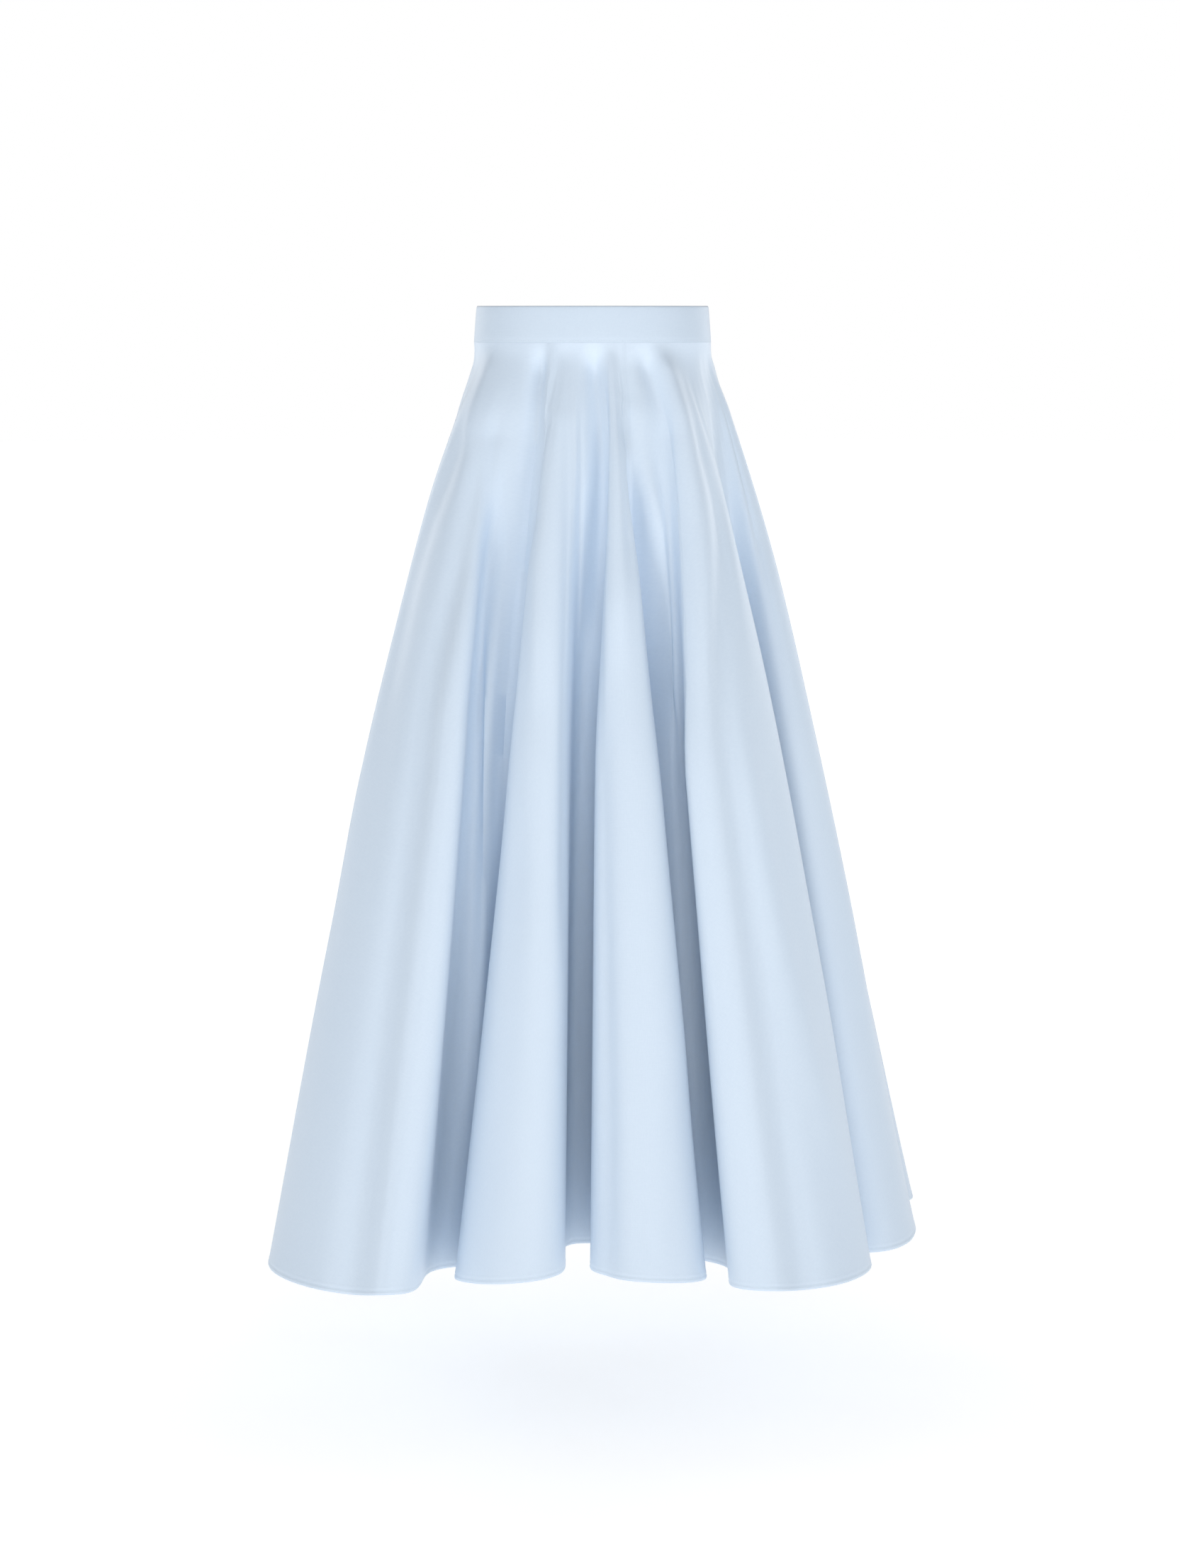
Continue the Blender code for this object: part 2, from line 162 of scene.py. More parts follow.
def white_room():
    """A world that lights the scene dimly and evenly, and looks plain white itself."""
    world = bpy.data.worlds.new("white_room")
    world.use_nodes = True
    tree = world.node_tree
    seen = tree.nodes.new("ShaderNodeLightPath").outputs["Is Camera Ray"]
    strength = tree.nodes.new("ShaderNodeMapRange")
    strength.inputs["To Min"].default_value = ROOM_LIGHT
    strength.inputs["To Max"].default_value = 1.0
    tree.links.new(seen, strength.inputs["Value"])
    background = tree.nodes["Background"]
    background.inputs["Color"].default_value = (1.0, 1.0, 1.0, 1.0)
    tree.links.new(strength.outputs[0], background.inputs["Strength"])
    return world


bpy.context.scene.world = white_room()
bpy.context.scene.view_settings.view_transform = "Standard"
print("lamps", len(LAMPS))

# %% [markdown]
# ## The folds
#
# The skirt's form is one rule: at each level the cloth is a closed curve of rounded folds. A table gives each
# fold's crest, the valley after it, and how far its sides curl over. Three numbers stand for the yoke, the
# knee and the hem, and a smooth curve joins them. The sizes are the frame's own, so the fine cloth made here
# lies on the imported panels.

# %% Sizes of the cut and the hang
BAND_HEIGHT = 0.038
WAIST_HALF_WIDTH = 0.1252
WAIST_HALF_DEPTH = 0.0940
BAND_TOP_SHARE = 0.976          # the band's top edge, as a share of its bottom edge
BAND_WALL = 0.0024
GAP = 0.0003                    # between sewn pieces
CUT_RADIUS = 0.110              # of the waist circle, on the flat cloth
CUT_LENGTH = 0.965              # waist seam to hem
HEM_DROP = 0.940                # how far below the seam the hem hangs
BIAS_DROP = 0.018               # how much lower it hangs where the cloth is on the bias
BELL = 0.28                     # how far the crests bow out on their way down
BELL_FADE = 1.6
YOKE_CURL = 0.30                # share of the knee's curl that the yoke has
WAIST_EASE = 0.08               # over this length the cloth leaves the oval of the waist seam
SWELL_START = 0.10              # the folds fill out from here down
SWELL_RISE = 0.6
TURN_WEIGHT = 0.03              # metres that a turn of one radian counts for
STATIONS = (0.0, 0.10, 0.45, CUT_LENGTH)
print("cut round", [round(2 * math.pi * radius, 3) for radius in (CUT_RADIUS, CUT_RADIUS + CUT_LENGTH)], "m")

# %% The table of folds
# Angles are degrees from the centre front, growing towards the wearer's left. left and right are the two
# sides of a fold: (curl at the knee, curl at the hem, swell at the hem). flat below 1 is a broad front.
EVEN_SIDE = (1.00, 1.00, 0.28)
Fold = namedtuple("Fold", "name crest reach flat valley depth left right", defaults=(EVEN_SIDE, EVEN_SIDE))
FOLDS = (
    Fold("front_left", crest=(-70, -59, -50), reach=0.405, flat=0.70,
         left=(1.00, 0.90, 0.16), right=(1.05, 1.30, 0.30),
         valley=(-28.6, -27.5, -29.5), depth=(0.018, 0.080, 0.190)),
    Fold("centre_left", crest=(-18, -14.4, -16.3), reach=0.330, flat=1.30,
         left=(1.10, 1.05, 0.42), right=(0.85, 1.10, 0.18),
         valley=(2.7, -3.6, -3.5), depth=(0.012, 0.084, 0.160)),
    Fold("centre_right", crest=(13, 10.5, 12.2), reach=0.328, flat=1.30,
         left=(1.05, 1.10, 0.18), right=(1.10, 1.00, 0.36),
         valley=(21, 22.5, 24.5), depth=(0.014, 0.084, 0.150)),
    Fold("front_right", crest=(51, 46.5, 42.5), reach=0.370, flat=0.75,
         left=(1.35, 1.45, 0.28), right=(1.20, 1.15, 0.34),
         valley=(72, 65.5, 59), depth=(0.012, 0.085, 0.190)),
    Fold("side_right", crest=(84, 77, 70), reach=0.362, flat=1.00,
         right=(1.00, 0.90, 0.28), valley=(93, 91, 88), depth=(0.010, 0.090, 0.190)),
    Fold("back_right_1", crest=(106, 105, 104), reach=0.362, flat=0.90,
         valley=(120, 120, 119), depth=(0.014, 0.100, 0.200)),
    Fold("back_right_2", crest=(136, 135, 134), reach=0.352, flat=1.00,
         valley=(150, 149, 148), depth=(0.012, 0.095, 0.200)),
    Fold("back_right_3", crest=(165, 164, 163), reach=0.368, flat=0.85,
         valley=(180, 179, 178), depth=(0.009, 0.095, 0.205)),
    Fold("back_left_3", crest=(196, 195, 195), reach=0.358, flat=0.90,
         right=(1.00, 1.00, 0.26), valley=(213, 212, 212), depth=(0.014, 0.100, 0.205)),
    Fold("back_left_2", crest=(229, 230, 231), reach=0.372, flat=0.80,
         left=(1.00, 1.00, 0.26), right=(1.00, 1.00, 0.26),
         valley=(247, 249, 251), depth=(0.012, 0.100, 0.205)),
    Fold("side_left", crest=(260, 264, 270), reach=0.334, flat=1.00,
         left=(1.00, 1.00, 0.26), right=(1.00, 1.00, 0.24),
         valley=(276, 284, 292), depth=(0.008, 0.080, 0.175)),
)
PANELS = {"skirt_front": (0, 5), "skirt_back_right": (5, 8), "skirt_back_left": (8, 11)}
print("folds", len(FOLDS))

# %% [markdown]
# ## From the table to a curve
#
# Each side of a fold is a run of points from its crest to the bottom of its valley. A sine added to the
# angle makes the side bulge and tuck back in, so a fold becomes a round tube with a narrow neck, as heavy
# cloth does near a hem. The points are then spread evenly along the curve, with some more where it turns.

# %% Curves through the stations
def between(stations, values, at):
    """A smooth curve through the values that never overshoots them, read at one place."""
    x = np.asarray(stations, float)
    y = np.asarray(values, float)
    step = np.diff(x)
    slope = np.diff(y) / step
    lean = np.zeros(len(x))
    lean[0] = slope[0]
    lean[-1] = slope[-1]
    for i in range(1, len(x) - 1):
        if slope[i - 1] * slope[i] > 0:
            first = 2 * step[i] + step[i - 1]
            second = step[i] + 2 * step[i - 1]
            lean[i] = (first + second) / (first / slope[i - 1] + second / slope[i])
    i = int(np.clip(np.searchsorted(x, at) - 1, 0, len(x) - 2))
    t = (at - x[i]) / step[i]
    rise = y[i] * (1 + 2 * t) * (1 - t) ** 2 + y[i + 1] * t * t * (3 - 2 * t)
    return rise + step[i] * (lean[i] * t * (1 - t) ** 2 + lean[i + 1] * t * t * (t - 1))


def angle_at(three, length):
    """A crest's or valley's angle in radians: above the yoke it stays where it is at the yoke."""
    return math.radians(between(STATIONS, (three[0], *three), length))


def waist_radius(angle):
    """Radius of the oval waist seam in one direction."""
    across = WAIST_HALF_DEPTH * np.sin(angle)
    ahead = WAIST_HALF_WIDTH * np.cos(angle)
    return WAIST_HALF_WIDTH * WAIST_HALF_DEPTH / np.sqrt(across**2 + ahead**2)


print("waist radius, front and side", waist_radius(np.array([0.0, math.pi / 2])).round(4))

# %% One side of a fold
def crest_radius(fold, angle, length):
    t = length / CUT_LENGTH
    share = t + BELL * t * (1 - t) ** BELL_FADE
    return waist_radius(angle) + (fold.reach - waist_radius(angle)) * share


def fold_side(crest, valley, flat, side, t, length):
    """Points of one side of a fold, from its crest (t = 0) to the bottom of its valley (t = 1)."""
    knee_curl, hem_curl, swell = side
    curl = between(STATIONS, (0.0, YOKE_CURL * knee_curl, knee_curl, hem_curl), length)
    hang = np.clip((length - SWELL_START) / (CUT_LENGTH - SWELL_START), 0, 1) ** SWELL_RISE
    turn = t + curl / math.pi * np.sin(2 * math.pi * t) + swell * hang * np.sin(math.pi * t)
    out = (0.5 + 0.5 * np.cos(math.pi * t)) ** (1 + (flat - 1) * hang)
    angle = crest[0] + (valley[0] - crest[0]) * turn
    radius = valley[1] + (crest[1] - valley[1]) * out
    return np.stack([radius * np.sin(angle), -radius * np.cos(angle)], axis=1)


def walked_along(points, extra=0.0):
    """How far each point of a run lies along it, each leg made longer by extra."""
    return np.concatenate([[0], np.cumsum(np.linalg.norm(np.diff(points, axis=0), axis=1) + extra)])


def read_at(wanted, walked, values):
    """Rows of values, read at other places along the run that they were given for."""
    return np.stack([np.interp(wanted, walked, column) for column in values.T], axis=-1)


def spread(points, count):
    """count corners along a run of points, closer together where it turns."""
    leg = np.diff(points, axis=0)
    heading = np.unwrap(np.arctan2(leg[:, 1], leg[:, 0]))
    turn = np.abs(np.diff(heading, prepend=heading[0]))
    walked = walked_along(points, TURN_WEIGHT * turn)
    return read_at(np.linspace(0, walked[-1], count + 1), walked, points)


# %% One level of the skirt
def valley_between(first, second, crests, length, full_turn=0.0):
    """(angle, radius) of the bottom of the valley between two neighbouring folds."""
    owner = FOLDS[first]
    level = 0.5 * (crests[first][1] + crests[second][1])
    depth = between(STATIONS, (0.0, *owner.depth), length)
    return angle_at(owner.valley, length) - full_turn, level - depth


def ring(length, corners, fine=128):
    """The closed curve of one level, as corners that start at the valley before the first fold."""
    angles = [angle_at(fold.crest, length) for fold in FOLDS]
    crests = [(a, crest_radius(fold, a, length)) for fold, a in zip(FOLDS, angles)]
    t = np.linspace(0, 1, fine + 1)
    sides = []
    for i, fold in enumerate(FOLDS):
        full_turn = 0.0 if i else 2 * math.pi
        before = valley_between(i - 1, i, crests, length, full_turn)
        after = valley_between(i, (i + 1) % len(FOLDS), crests, length)
        left = fold_side(crests[i], before, fold.flat, fold.left, t, length)
        right = fold_side(crests[i], after, fold.flat, fold.right, t, length)
        sides += [spread(left[::-1], corners)[:-1], spread(right, corners)[:-1]]
    level = np.vstack(sides)
    oval = waist_radius(np.arctan2(level[:, 0], -level[:, 1])) / np.linalg.norm(level, axis=1)
    ease = max(0.0, 1 - length / WAIST_EASE) ** 2
    return level * (1 + ease * (oval - 1))[:, None]


def height_at(points, length):
    """Height of a level's corners: it sinks a little where the cloth lies on the bias."""
    angle = np.arctan2(points[:, 0], -points[:, 1])
    t = length / CUT_LENGTH
    return -0.5 * BAND_HEIGHT - GAP - HEM_DROP * t - BIAS_DROP * np.sin(2 * angle) ** 2 * t * t


hem_line = ring(CUT_LENGTH, 32)
hem_round = float(walked_along(np.vstack([hem_line, hem_line[:1]]))[-1])
print("hem measured round its folds", round(hem_round, 2), "m")

# %% [markdown]
# ## Rows of cloth
#
# The rows are closest under the band, where small creases start, and at the hem, where the cloth is turned
# up and stitched. All the cloth is worked out once as a grid of rows and columns, and the panels take their
# columns from it.

# %% The grid
PER_SIDE = 30                   # columns on each side of a fold
FOLD_COLUMNS = 2 * PER_SIDE
HEM_WIDTH = 0.0085
ABOVE_HEM = 0.012               # where the last row of single cloth lies
UPPER_ROWS = np.linspace(0.0, 0.10, 21)
MIDDLE_ROWS = np.linspace(0.10, CUT_LENGTH - ABOVE_HEM, 96)[1:]
# The turned hem: distance above the edge, and the offsets of the face and the back from the middle.
HemRow = namedtuple("HemRow", "above face back")
HEM_ROWS = (
    HemRow(HEM_WIDTH + 0.0010, 0.0004, 0.0004),
    HemRow(HEM_WIDTH, 0.0004, 0.0010),
    HemRow(0.0056, 0.0007, 0.0012),
    HemRow(0.0042, 0.0002, 0.0008),
    HemRow(0.0028, 0.0007, 0.0012),
    HemRow(0.0009, 0.0006, 0.0010),
    HemRow(0.0000, 0.0001, 0.0003),
)
CLOTH_FACE = 0.0004             # from the middle of the cloth to either face
HEM_STITCH_ROW = 3 - len(HEM_ROWS)      # the stitches sink into this row, counted from the edge
lengths = np.concatenate([UPPER_ROWS, MIDDLE_ROWS, [CUT_LENGTH - row.above for row in HEM_ROWS]])
single = np.full(len(lengths) - len(HEM_ROWS), CLOTH_FACE)
faces_out = np.concatenate([single, [row.face for row in HEM_ROWS]])
backs_in = np.concatenate([single, [row.back for row in HEM_ROWS]])


def grid_of(row_lengths):
    rows = []
    for length in row_lengths:
        level = ring(length, PER_SIDE)
        rows.append(np.column_stack([level, height_at(level, length)]))
    return np.array(rows)


def normals_of(points):
    """Outward normals of a grid whose columns close into a ring."""
    along = np.roll(points, -1, axis=1) - np.roll(points, 1, axis=1)
    down = np.gradient(points, axis=0)
    normals = np.cross(down, along)
    normals[0, :, 2] = 0.0
    return normals / np.linalg.norm(normals, axis=2, keepdims=True)


cloth = grid_of(lengths)
print("rows, columns", cloth.shape[:2])

# %% [markdown]
# ## Creases
#
# Between the large folds a real skirt has many slight ones: troughs that start as a pucker under the band,
# ridges that fade out half way down, ripples that the stitched hem keeps. Each is a soft ridge or trough,
# given one by one in the table below. It runs down one line of the cloth, named by its fold and by where it
# lies across it: 0 is the valley on the left, 0.5 the crest, 1 the valley on the right.

# %% The table of creases
# at: place across its fold at the waist, 0.1, 0.2 and 0.4 m below it, and at the hem. rise: metres out, or
# in below 0. width: half its width in metres at the waist and at the hem. span: where it starts and ends
# down the cloth.
Crease = namedtuple("Crease", "at rise width span")
CREASES = {
    "front_left": (
        Crease((0.90, 0.86, 0.78, 0.66, 0.65), 0.0070, (0.010, 0.017), (0.01, CUT_LENGTH)),
        Crease((0.86, 0.80, 0.69, 0.61, 0.60), -0.0078, (0.009, 0.014), (0.02, CUT_LENGTH)),
        Crease((0.98, 0.96, 0.95, 0.93, 0.91), 0.0240, (0.014, 0.022), (0.20, CUT_LENGTH)),
        Crease((0.97, 0.985, 0.98, 0.97, 0.95), -0.0105, (0.0065, 0.009), (0.0, 0.52)),
        Crease((0.45, 0.47, 0.46, 0.42, 0.38), 0.0036, (0.012, 0.024), (0.02, 0.62)),
        Crease((0.30, 0.28, 0.27, 0.25, 0.22), -0.0042, (0.014, 0.024), (0.08, 0.90)),
        Crease((0.60, 0.62, 0.61, 0.60, 0.60), 0.0024, (0.009, 0.010), (0.0, 0.12)),
        Crease((0.70, 0.60, 0.52, 0.48, 0.48), -0.0034, (0.010, 0.018), (0.03, 0.44)),
    ),
    "centre_left": (
        Crease((0.01, 0.01, 0.01, 0.01, 0.01), 0.0100, (0.010, 0.012), (0.28, 0.84)),
        Crease((0.25, 0.44, 0.48, 0.48, 0.46), 0.0052, (0.009, 0.018), (0.0, 0.40)),
        Crease((0.40, 0.26, 0.26, 0.28, 0.30), -0.0036, (0.008, 0.014), (0.0, 0.24)),
        Crease((0.45, 0.45, 0.45, 0.44, 0.43), -0.0052, (0.014, 0.020), (0.42, CUT_LENGTH)),
        Crease((0.60, 0.64, 0.66, 0.67, 0.64), -0.0046, (0.009, 0.014), (0.08, 0.70)),
        Crease((0.95, 0.95, 0.95, 0.97, 0.97), 0.0040, (0.008, 0.010), (0.07, 0.36)),
    ),
    "centre_right": (
        Crease((-0.04, 0.02, 0.03, 0.04, 0.05), -0.0090, (0.007, 0.011), (0.0, 0.34)),
        Crease((0.52, 0.48, 0.46, 0.45, 0.45), 0.0046, (0.009, 0.016), (0.0, 0.36)),
        Crease((0.70, 0.57, 0.55, 0.54, 0.52), -0.0052, (0.007, 0.010), (0.01, 0.27)),
        Crease((0.84, 0.84, 0.84, 0.84, 0.84), -0.0044, (0.008, 0.008), (0.0, 0.12)),
        Crease((0.50, 0.55, 0.58, 0.60, 0.62), 0.0036, (0.010, 0.018), (0.34, 0.84)),
        Crease((0.30, 0.34, 0.37, 0.385, 0.36), -0.0085, (0.010, 0.014), (0.26, CUT_LENGTH)),
    ),
    "front_right": (
        Crease((-0.03, -0.03, -0.03, 0.00, 0.02), -0.0120, (0.007, 0.010), (0.08, 0.46)),
        Crease((0.00, 0.02, 0.06, 0.10, 0.12), 0.0090, (0.009, 0.012), (0.10, 0.44)),
        Crease((0.06, 0.06, 0.06, 0.06, 0.04), 0.0130, (0.014, 0.020), (0.26, 0.90)),
        Crease((0.14, 0.25, 0.33, 0.31, 0.28), -0.0075, (0.008, 0.014), (0.0, 0.46)),
        Crease((0.30, 0.40, 0.42, 0.39, 0.39), 0.0062, (0.010, 0.020), (0.0, CUT_LENGTH)),
        Crease((0.72, 0.60, 0.50, 0.42, 0.44), -0.0068, (0.009, 0.014), (0.08, CUT_LENGTH)),
        Crease((0.44, 0.48, 0.50, 0.49, 0.49), -0.0020, (0.005, 0.006), (0.03, 0.36)),
        Crease((0.50, 0.50, 0.48, 0.46, 0.57), 0.0050, (0.012, 0.016), (0.30, 0.92)),
        Crease((0.78, 0.76, 0.74, 0.72, 0.70), -0.0045, (0.010, 0.018), (0.10, 0.74)),
    ),
    "side_right": (
        Crease((0.30, 0.36, 0.37, 0.38, 0.38), -0.0039, (0.007, 0.009), (0.0, 0.28)),
        Crease((0.52, 0.50, 0.49, 0.48, 0.50), 0.0039, (0.009, 0.016), (0.05, 0.80)),
        Crease((0.70, 0.68, 0.67, 0.66, 0.64), -0.0048, (0.010, 0.016), (0.10, CUT_LENGTH)),
    ),
    "back_right_1": (
        Crease((0.20, 0.28, 0.32, 0.36, 0.38), 0.0051, (0.009, 0.017), (0.0, CUT_LENGTH)),
        Crease((0.42, 0.44, 0.46, 0.48, 0.50), -0.0060, (0.008, 0.012), (0.01, 0.82)),
        Crease((0.78, 0.74, 0.70, 0.66, 0.62), 0.0039, (0.010, 0.014), (0.12, 0.62)),
    ),
    "back_right_2": (
        Crease((0.05, 0.14, 0.18, 0.24, 0.28), -0.0045, (0.007, 0.011), (0.0, 0.42)),
        Crease((0.55, 0.52, 0.48, 0.44, 0.40), 0.0054, (0.008, 0.016), (0.02, CUT_LENGTH)),
        Crease((0.82, 0.72, 0.67, 0.60, 0.58), -0.0063, (0.008, 0.014), (0.0, 0.70)),
    ),
    "back_right_3": (
        Crease((0.24, 0.30, 0.32, 0.34, 0.30), -0.0045, (0.008, 0.012), (0.0, 0.56)),
        Crease((0.50, 0.50, 0.53, 0.56, 0.60), 0.0051, (0.010, 0.019), (0.16, CUT_LENGTH)),
        Crease((0.62, 0.66, 0.69, 0.72, 0.74), -0.0039, (0.008, 0.009), (0.02, 0.34)),
    ),
    "back_left_3": (
        Crease((0.30, 0.34, 0.36, 0.38, 0.42), 0.0045, (0.008, 0.016), (0.04, 0.90)),
        Crease((0.58, 0.54, 0.52, 0.50, 0.50), -0.0057, (0.008, 0.012), (0.0, 0.64)),
        Crease((0.88, 0.80, 0.76, 0.72, 0.68), 0.0039, (0.008, 0.011), (0.0, 0.30)),
    ),
    "back_left_2": (
        Crease((0.14, 0.24, 0.29, 0.34, 0.34), -0.0054, (0.008, 0.014), (0.0, CUT_LENGTH)),
        Crease((0.40, 0.42, 0.43, 0.44, 0.46), 0.0060, (0.009, 0.017), (0.0, 0.76)),
        Crease((0.70, 0.66, 0.63, 0.60, 0.58), -0.0045, (0.008, 0.011), (0.06, 0.48)),
    ),
    "side_left": (
        Crease((0.30, 0.38, 0.41, 0.44, 0.46), 0.0048, (0.008, 0.016), (0.0, 0.70)),
        Crease((0.60, 0.58, 0.59, 0.60, 0.62), -0.0051, (0.008, 0.012), (0.02, CUT_LENGTH)),
    ),
}
CREASE_STATIONS = (0.0, 0.10, 0.20, 0.40, CUT_LENGTH)
CREASE_FADE = 0.28              # share of its span over which a crease fades in, and out
PUCKER_FADE = 0.032             # a crease that starts at the waist is this far from flat there
print("creases", sum(len(rows) for rows in CREASES.values()))

# %% Pressing the creases in
def smooth(t):
    t = np.clip(t, 0, 1)
    return t * t * (3 - 2 * t)


def crease_strength(span, row_lengths):
    """0 to 1 down the cloth: a crease fades in and out, and one from the waist starts almost at once."""
    start, end = span
    fade = CREASE_FADE * (end - start)
    rise_over = PUCKER_FADE if start <= 0 else fade
    ends_at_hem = end >= CUT_LENGTH
    fall = 1.0 if ends_at_hem else smooth((end - row_lengths) / fade)
    return smooth((row_lengths - start) / rise_over) * fall


def pressed(points, row_lengths, creases):
    """The grid with its creases added along its normals."""
    normals = normals_of(points)
    legs = np.linalg.norm(np.roll(points, -1, axis=1) - points, axis=2)
    walked = np.concatenate([np.zeros((len(points), 1)), np.cumsum(legs, axis=1)], axis=1)
    around = walked[:, -1]
    columns = np.arange(points.shape[1] + 1)
    starts = {fold.name: i * FOLD_COLUMNS for i, fold in enumerate(FOLDS)}
    lift = np.zeros(points.shape[:2])
    for first, crease in [(starts[name], row) for name, rows in creases.items() for row in rows]:
        strength = crease_strength(crease.span, row_lengths)
        width = np.interp(row_lengths, (0.0, CUT_LENGTH), crease.width)
        for row in np.flatnonzero(np.atleast_1d(strength) > 0):
            place = between(CREASE_STATIONS, crease.at, row_lengths[row])
            centre = np.interp(first + place * FOLD_COLUMNS, columns, walked[row])
            away = np.abs(walked[row, :-1] - centre)
            away = np.minimum(away, around[row] - away)
            lift[row] += crease.rise * strength[row] * np.exp(-0.5 * (away / width[row]) ** 2)
    return points + lift[..., None] * normals, lift


EASE_OUT = 0.0006               # the cloth starts level with the waistband's face
EASE_LENGTH = 0.020
cloth, lift = pressed(cloth, lengths, CREASES)
cloth += EASE_OUT * (1 - smooth(lengths / EASE_LENGTH))[:, None, None] * normals_of(cloth)
print("creases move the cloth by", round(float(lift.min()), 4), "to", round(float(lift.max()), 4), "m")

# %% [markdown]
# ## Uneven hang
#
# Perfectly even cloth looks like plastic. Long shallow waves, a millimetre high and stretched down the
# folds, break the highlights up as woven satin does. They are sums of a few sines, so each run is the same.

# %% Long shallow waves
Wave = namedtuple("Wave", "height across down phase")
WAVES = (
    Wave(0.00055, 23, 3.1, 0.4),
    Wave(0.00045, 37, -4.3, 1.9),
    Wave(0.00035, 61, 6.7, 3.3),
    Wave(0.00022, 97, -9.0, 5.1),
)
WAVE_START = 0.12


def wavy(points, row_lengths):
    """The grid with its waves: across counts waves round the skirt, down is how they lean."""
    turn = np.linspace(0, 2 * math.pi, points.shape[1], endpoint=False)
    lift = np.zeros(points.shape[:2])
    for wave in WAVES:
        lean = wave.down * row_lengths[:, None]
        lift += wave.height * np.sin(wave.across * turn[None, :] + lean + wave.phase)
    lift *= smooth(row_lengths / WAVE_START)[:, None]
    return points + lift[..., None] * normals_of(points)


cloth = wavy(cloth, lengths)
cloth_normals = normals_of(cloth)
print("waves", len(WAVES))

# %% [markdown]
# ## Shader maths as Python
#
# A material is a graph of nodes. The small class below lets Python expressions build the number part of it:
# adding or multiplying two sockets adds a Math node. Any other node comes from one method, which sets the
# node's options first and its inputs after them.

# %% A shader and its numbers
WAVE_BANDS = 20.0 / (2 * math.pi)       # bands per unit in a wave texture of scale 1


class Number:
    """A number socket. Python's + - and * add Math nodes to its shader."""

    def __init__(self, shader, socket):
        self.shader = shader
        self.socket = socket

    def maths(self, operation, first, second):
        made = self.shader.node("ShaderNodeMath", {"operation": operation}, {0: first, 1: second})
        return Number(self.shader, made.outputs[0])

    def __add__(self, other):
        return self.maths("ADD", self, other)

    def __radd__(self, other):
        return self.maths("ADD", other, self)

    def __sub__(self, other):
        return self.maths("SUBTRACT", self, other)

    def __rsub__(self, other):
        return self.maths("SUBTRACT", other, self)

    def __mul__(self, other):
        return self.maths("MULTIPLY", self, other)

    def __rmul__(self, other):
        return self.maths("MULTIPLY", other, self)


class Shader:
    """A material with its Principled BSDF, and the one method that adds nodes to it."""

    def __init__(self, name, roughness, **constants):
        self.material = bpy.data.materials.new(name)
        self.material.use_nodes = True
        self.tree = self.material.node_tree
        self.bsdf = self.tree.nodes["Principled BSDF"]
        self.bsdf.inputs["Roughness"].default_value = roughness
        for socket, value in constants.items():
            self.bsdf.inputs[socket.replace("_", " ")].default_value = value

    def put(self, socket, value):
        """Links a socket's value, or sets it."""
        value = getattr(value, "socket", value)
        if isinstance(value, bpy.types.NodeSocket):
            self.tree.links.new(value, socket)
        else:
            socket.default_value = value

    def node(self, kind, settings, inputs):
        made = self.tree.nodes.new(kind)
        for key, value in settings.items():
            setattr(made, key, value)
        for key, value in inputs.items():
            self.put(made.inputs[key], value)
        return made

    def number(self, kind, settings, inputs, output=0):
        return Number(self, self.node(kind, settings, inputs).outputs[output])

    def place(self, map_name=None):
        """Places on the object itself, or on one of its UV maps."""
        if map_name:
            return self.node("ShaderNodeUVMap", {"uv_map": map_name}, {}).outputs[0]
        return self.node("ShaderNodeTexCoord", {}, {}).outputs["Object"]

    def noise(self, place, scale, detail=2.0):
        inputs = {"Vector": place, "Scale": scale, "Detail": detail}
        return self.number("ShaderNodeTexNoise", {}, inputs)

    def bands(self, place, per_metre, direction):
        """Even bands across one axis, 0 to 1."""
        inputs = {"Vector": place, "Scale": per_metre / WAVE_BANDS}
        return self.number("ShaderNodeTexWave", {"bands_direction": direction}, inputs, output=1)

    def colour(self, share, first, second, socket="Base Color"):
        """Mixes two colours, given as red, green and blue, into one of the surface's sockets."""
        inputs = {0: share, 6: (*first, 1.0), 7: (*second, 1.0)}
        mixed = self.node("ShaderNodeMix", {"data_type": "RGBA"}, inputs)
        self.put(self.bsdf.inputs[socket], mixed.outputs[2])

    def roughness(self, value):
        self.put(self.bsdf.inputs["Roughness"], value)

    def bump(self, height, distance):
        made = self.node("ShaderNodeBump", {}, {"Strength": 1.0, "Distance": distance, "Height": height})
        self.put(self.bsdf.inputs["Normal"], made.outputs[0])


print("shader maths ready")

# %% [markdown]
# ## Satin
#
# Satin shows long threads on its face, so it has a soft sheen and a faint streak along the grain. The
# pattern follows the flat cut: each panel has a UV map in metres, laid out as the cloth was on the cutting
# table, so the threads run straight down the middle of a panel and on the bias at its sides. Four scales
# are mixed: the threads, slightly uneven ones among them, the mottled grain where uneven ones cross, and
# broad soft changes of shade.

# %% The satin
SATIN_DEEP = (0.610, 0.725, 0.865)
SATIN_PALE = (0.705, 0.812, 0.930)
BAND_SHADED_DEEP = (0.560, 0.668, 0.800)       # painted shade: the skirt's satin made darker, so that the upright band, which faces the lamps, looks no brighter than the skirt
BAND_SHADED_PALE = (0.648, 0.750, 0.860)
THREADS_PER_METRE = 2200
SLUB = (900.0, 60.0)                    # across and along a thread, in changes per metre
GRAIN = (430.0, 310.0)
SHADE = (5.0, 3.0)
THREAD_HEIGHT = 0.00006


def stretched_noise(shader, place, scale, detail=2.0):
    """Noise that is drawn out along one axis of the cut."""
    moved = shader.node("ShaderNodeMapping", {}, {"Vector": place, "Scale": (*scale, 1.0)})
    return shader.noise(moved.outputs[0], 1.0, detail)


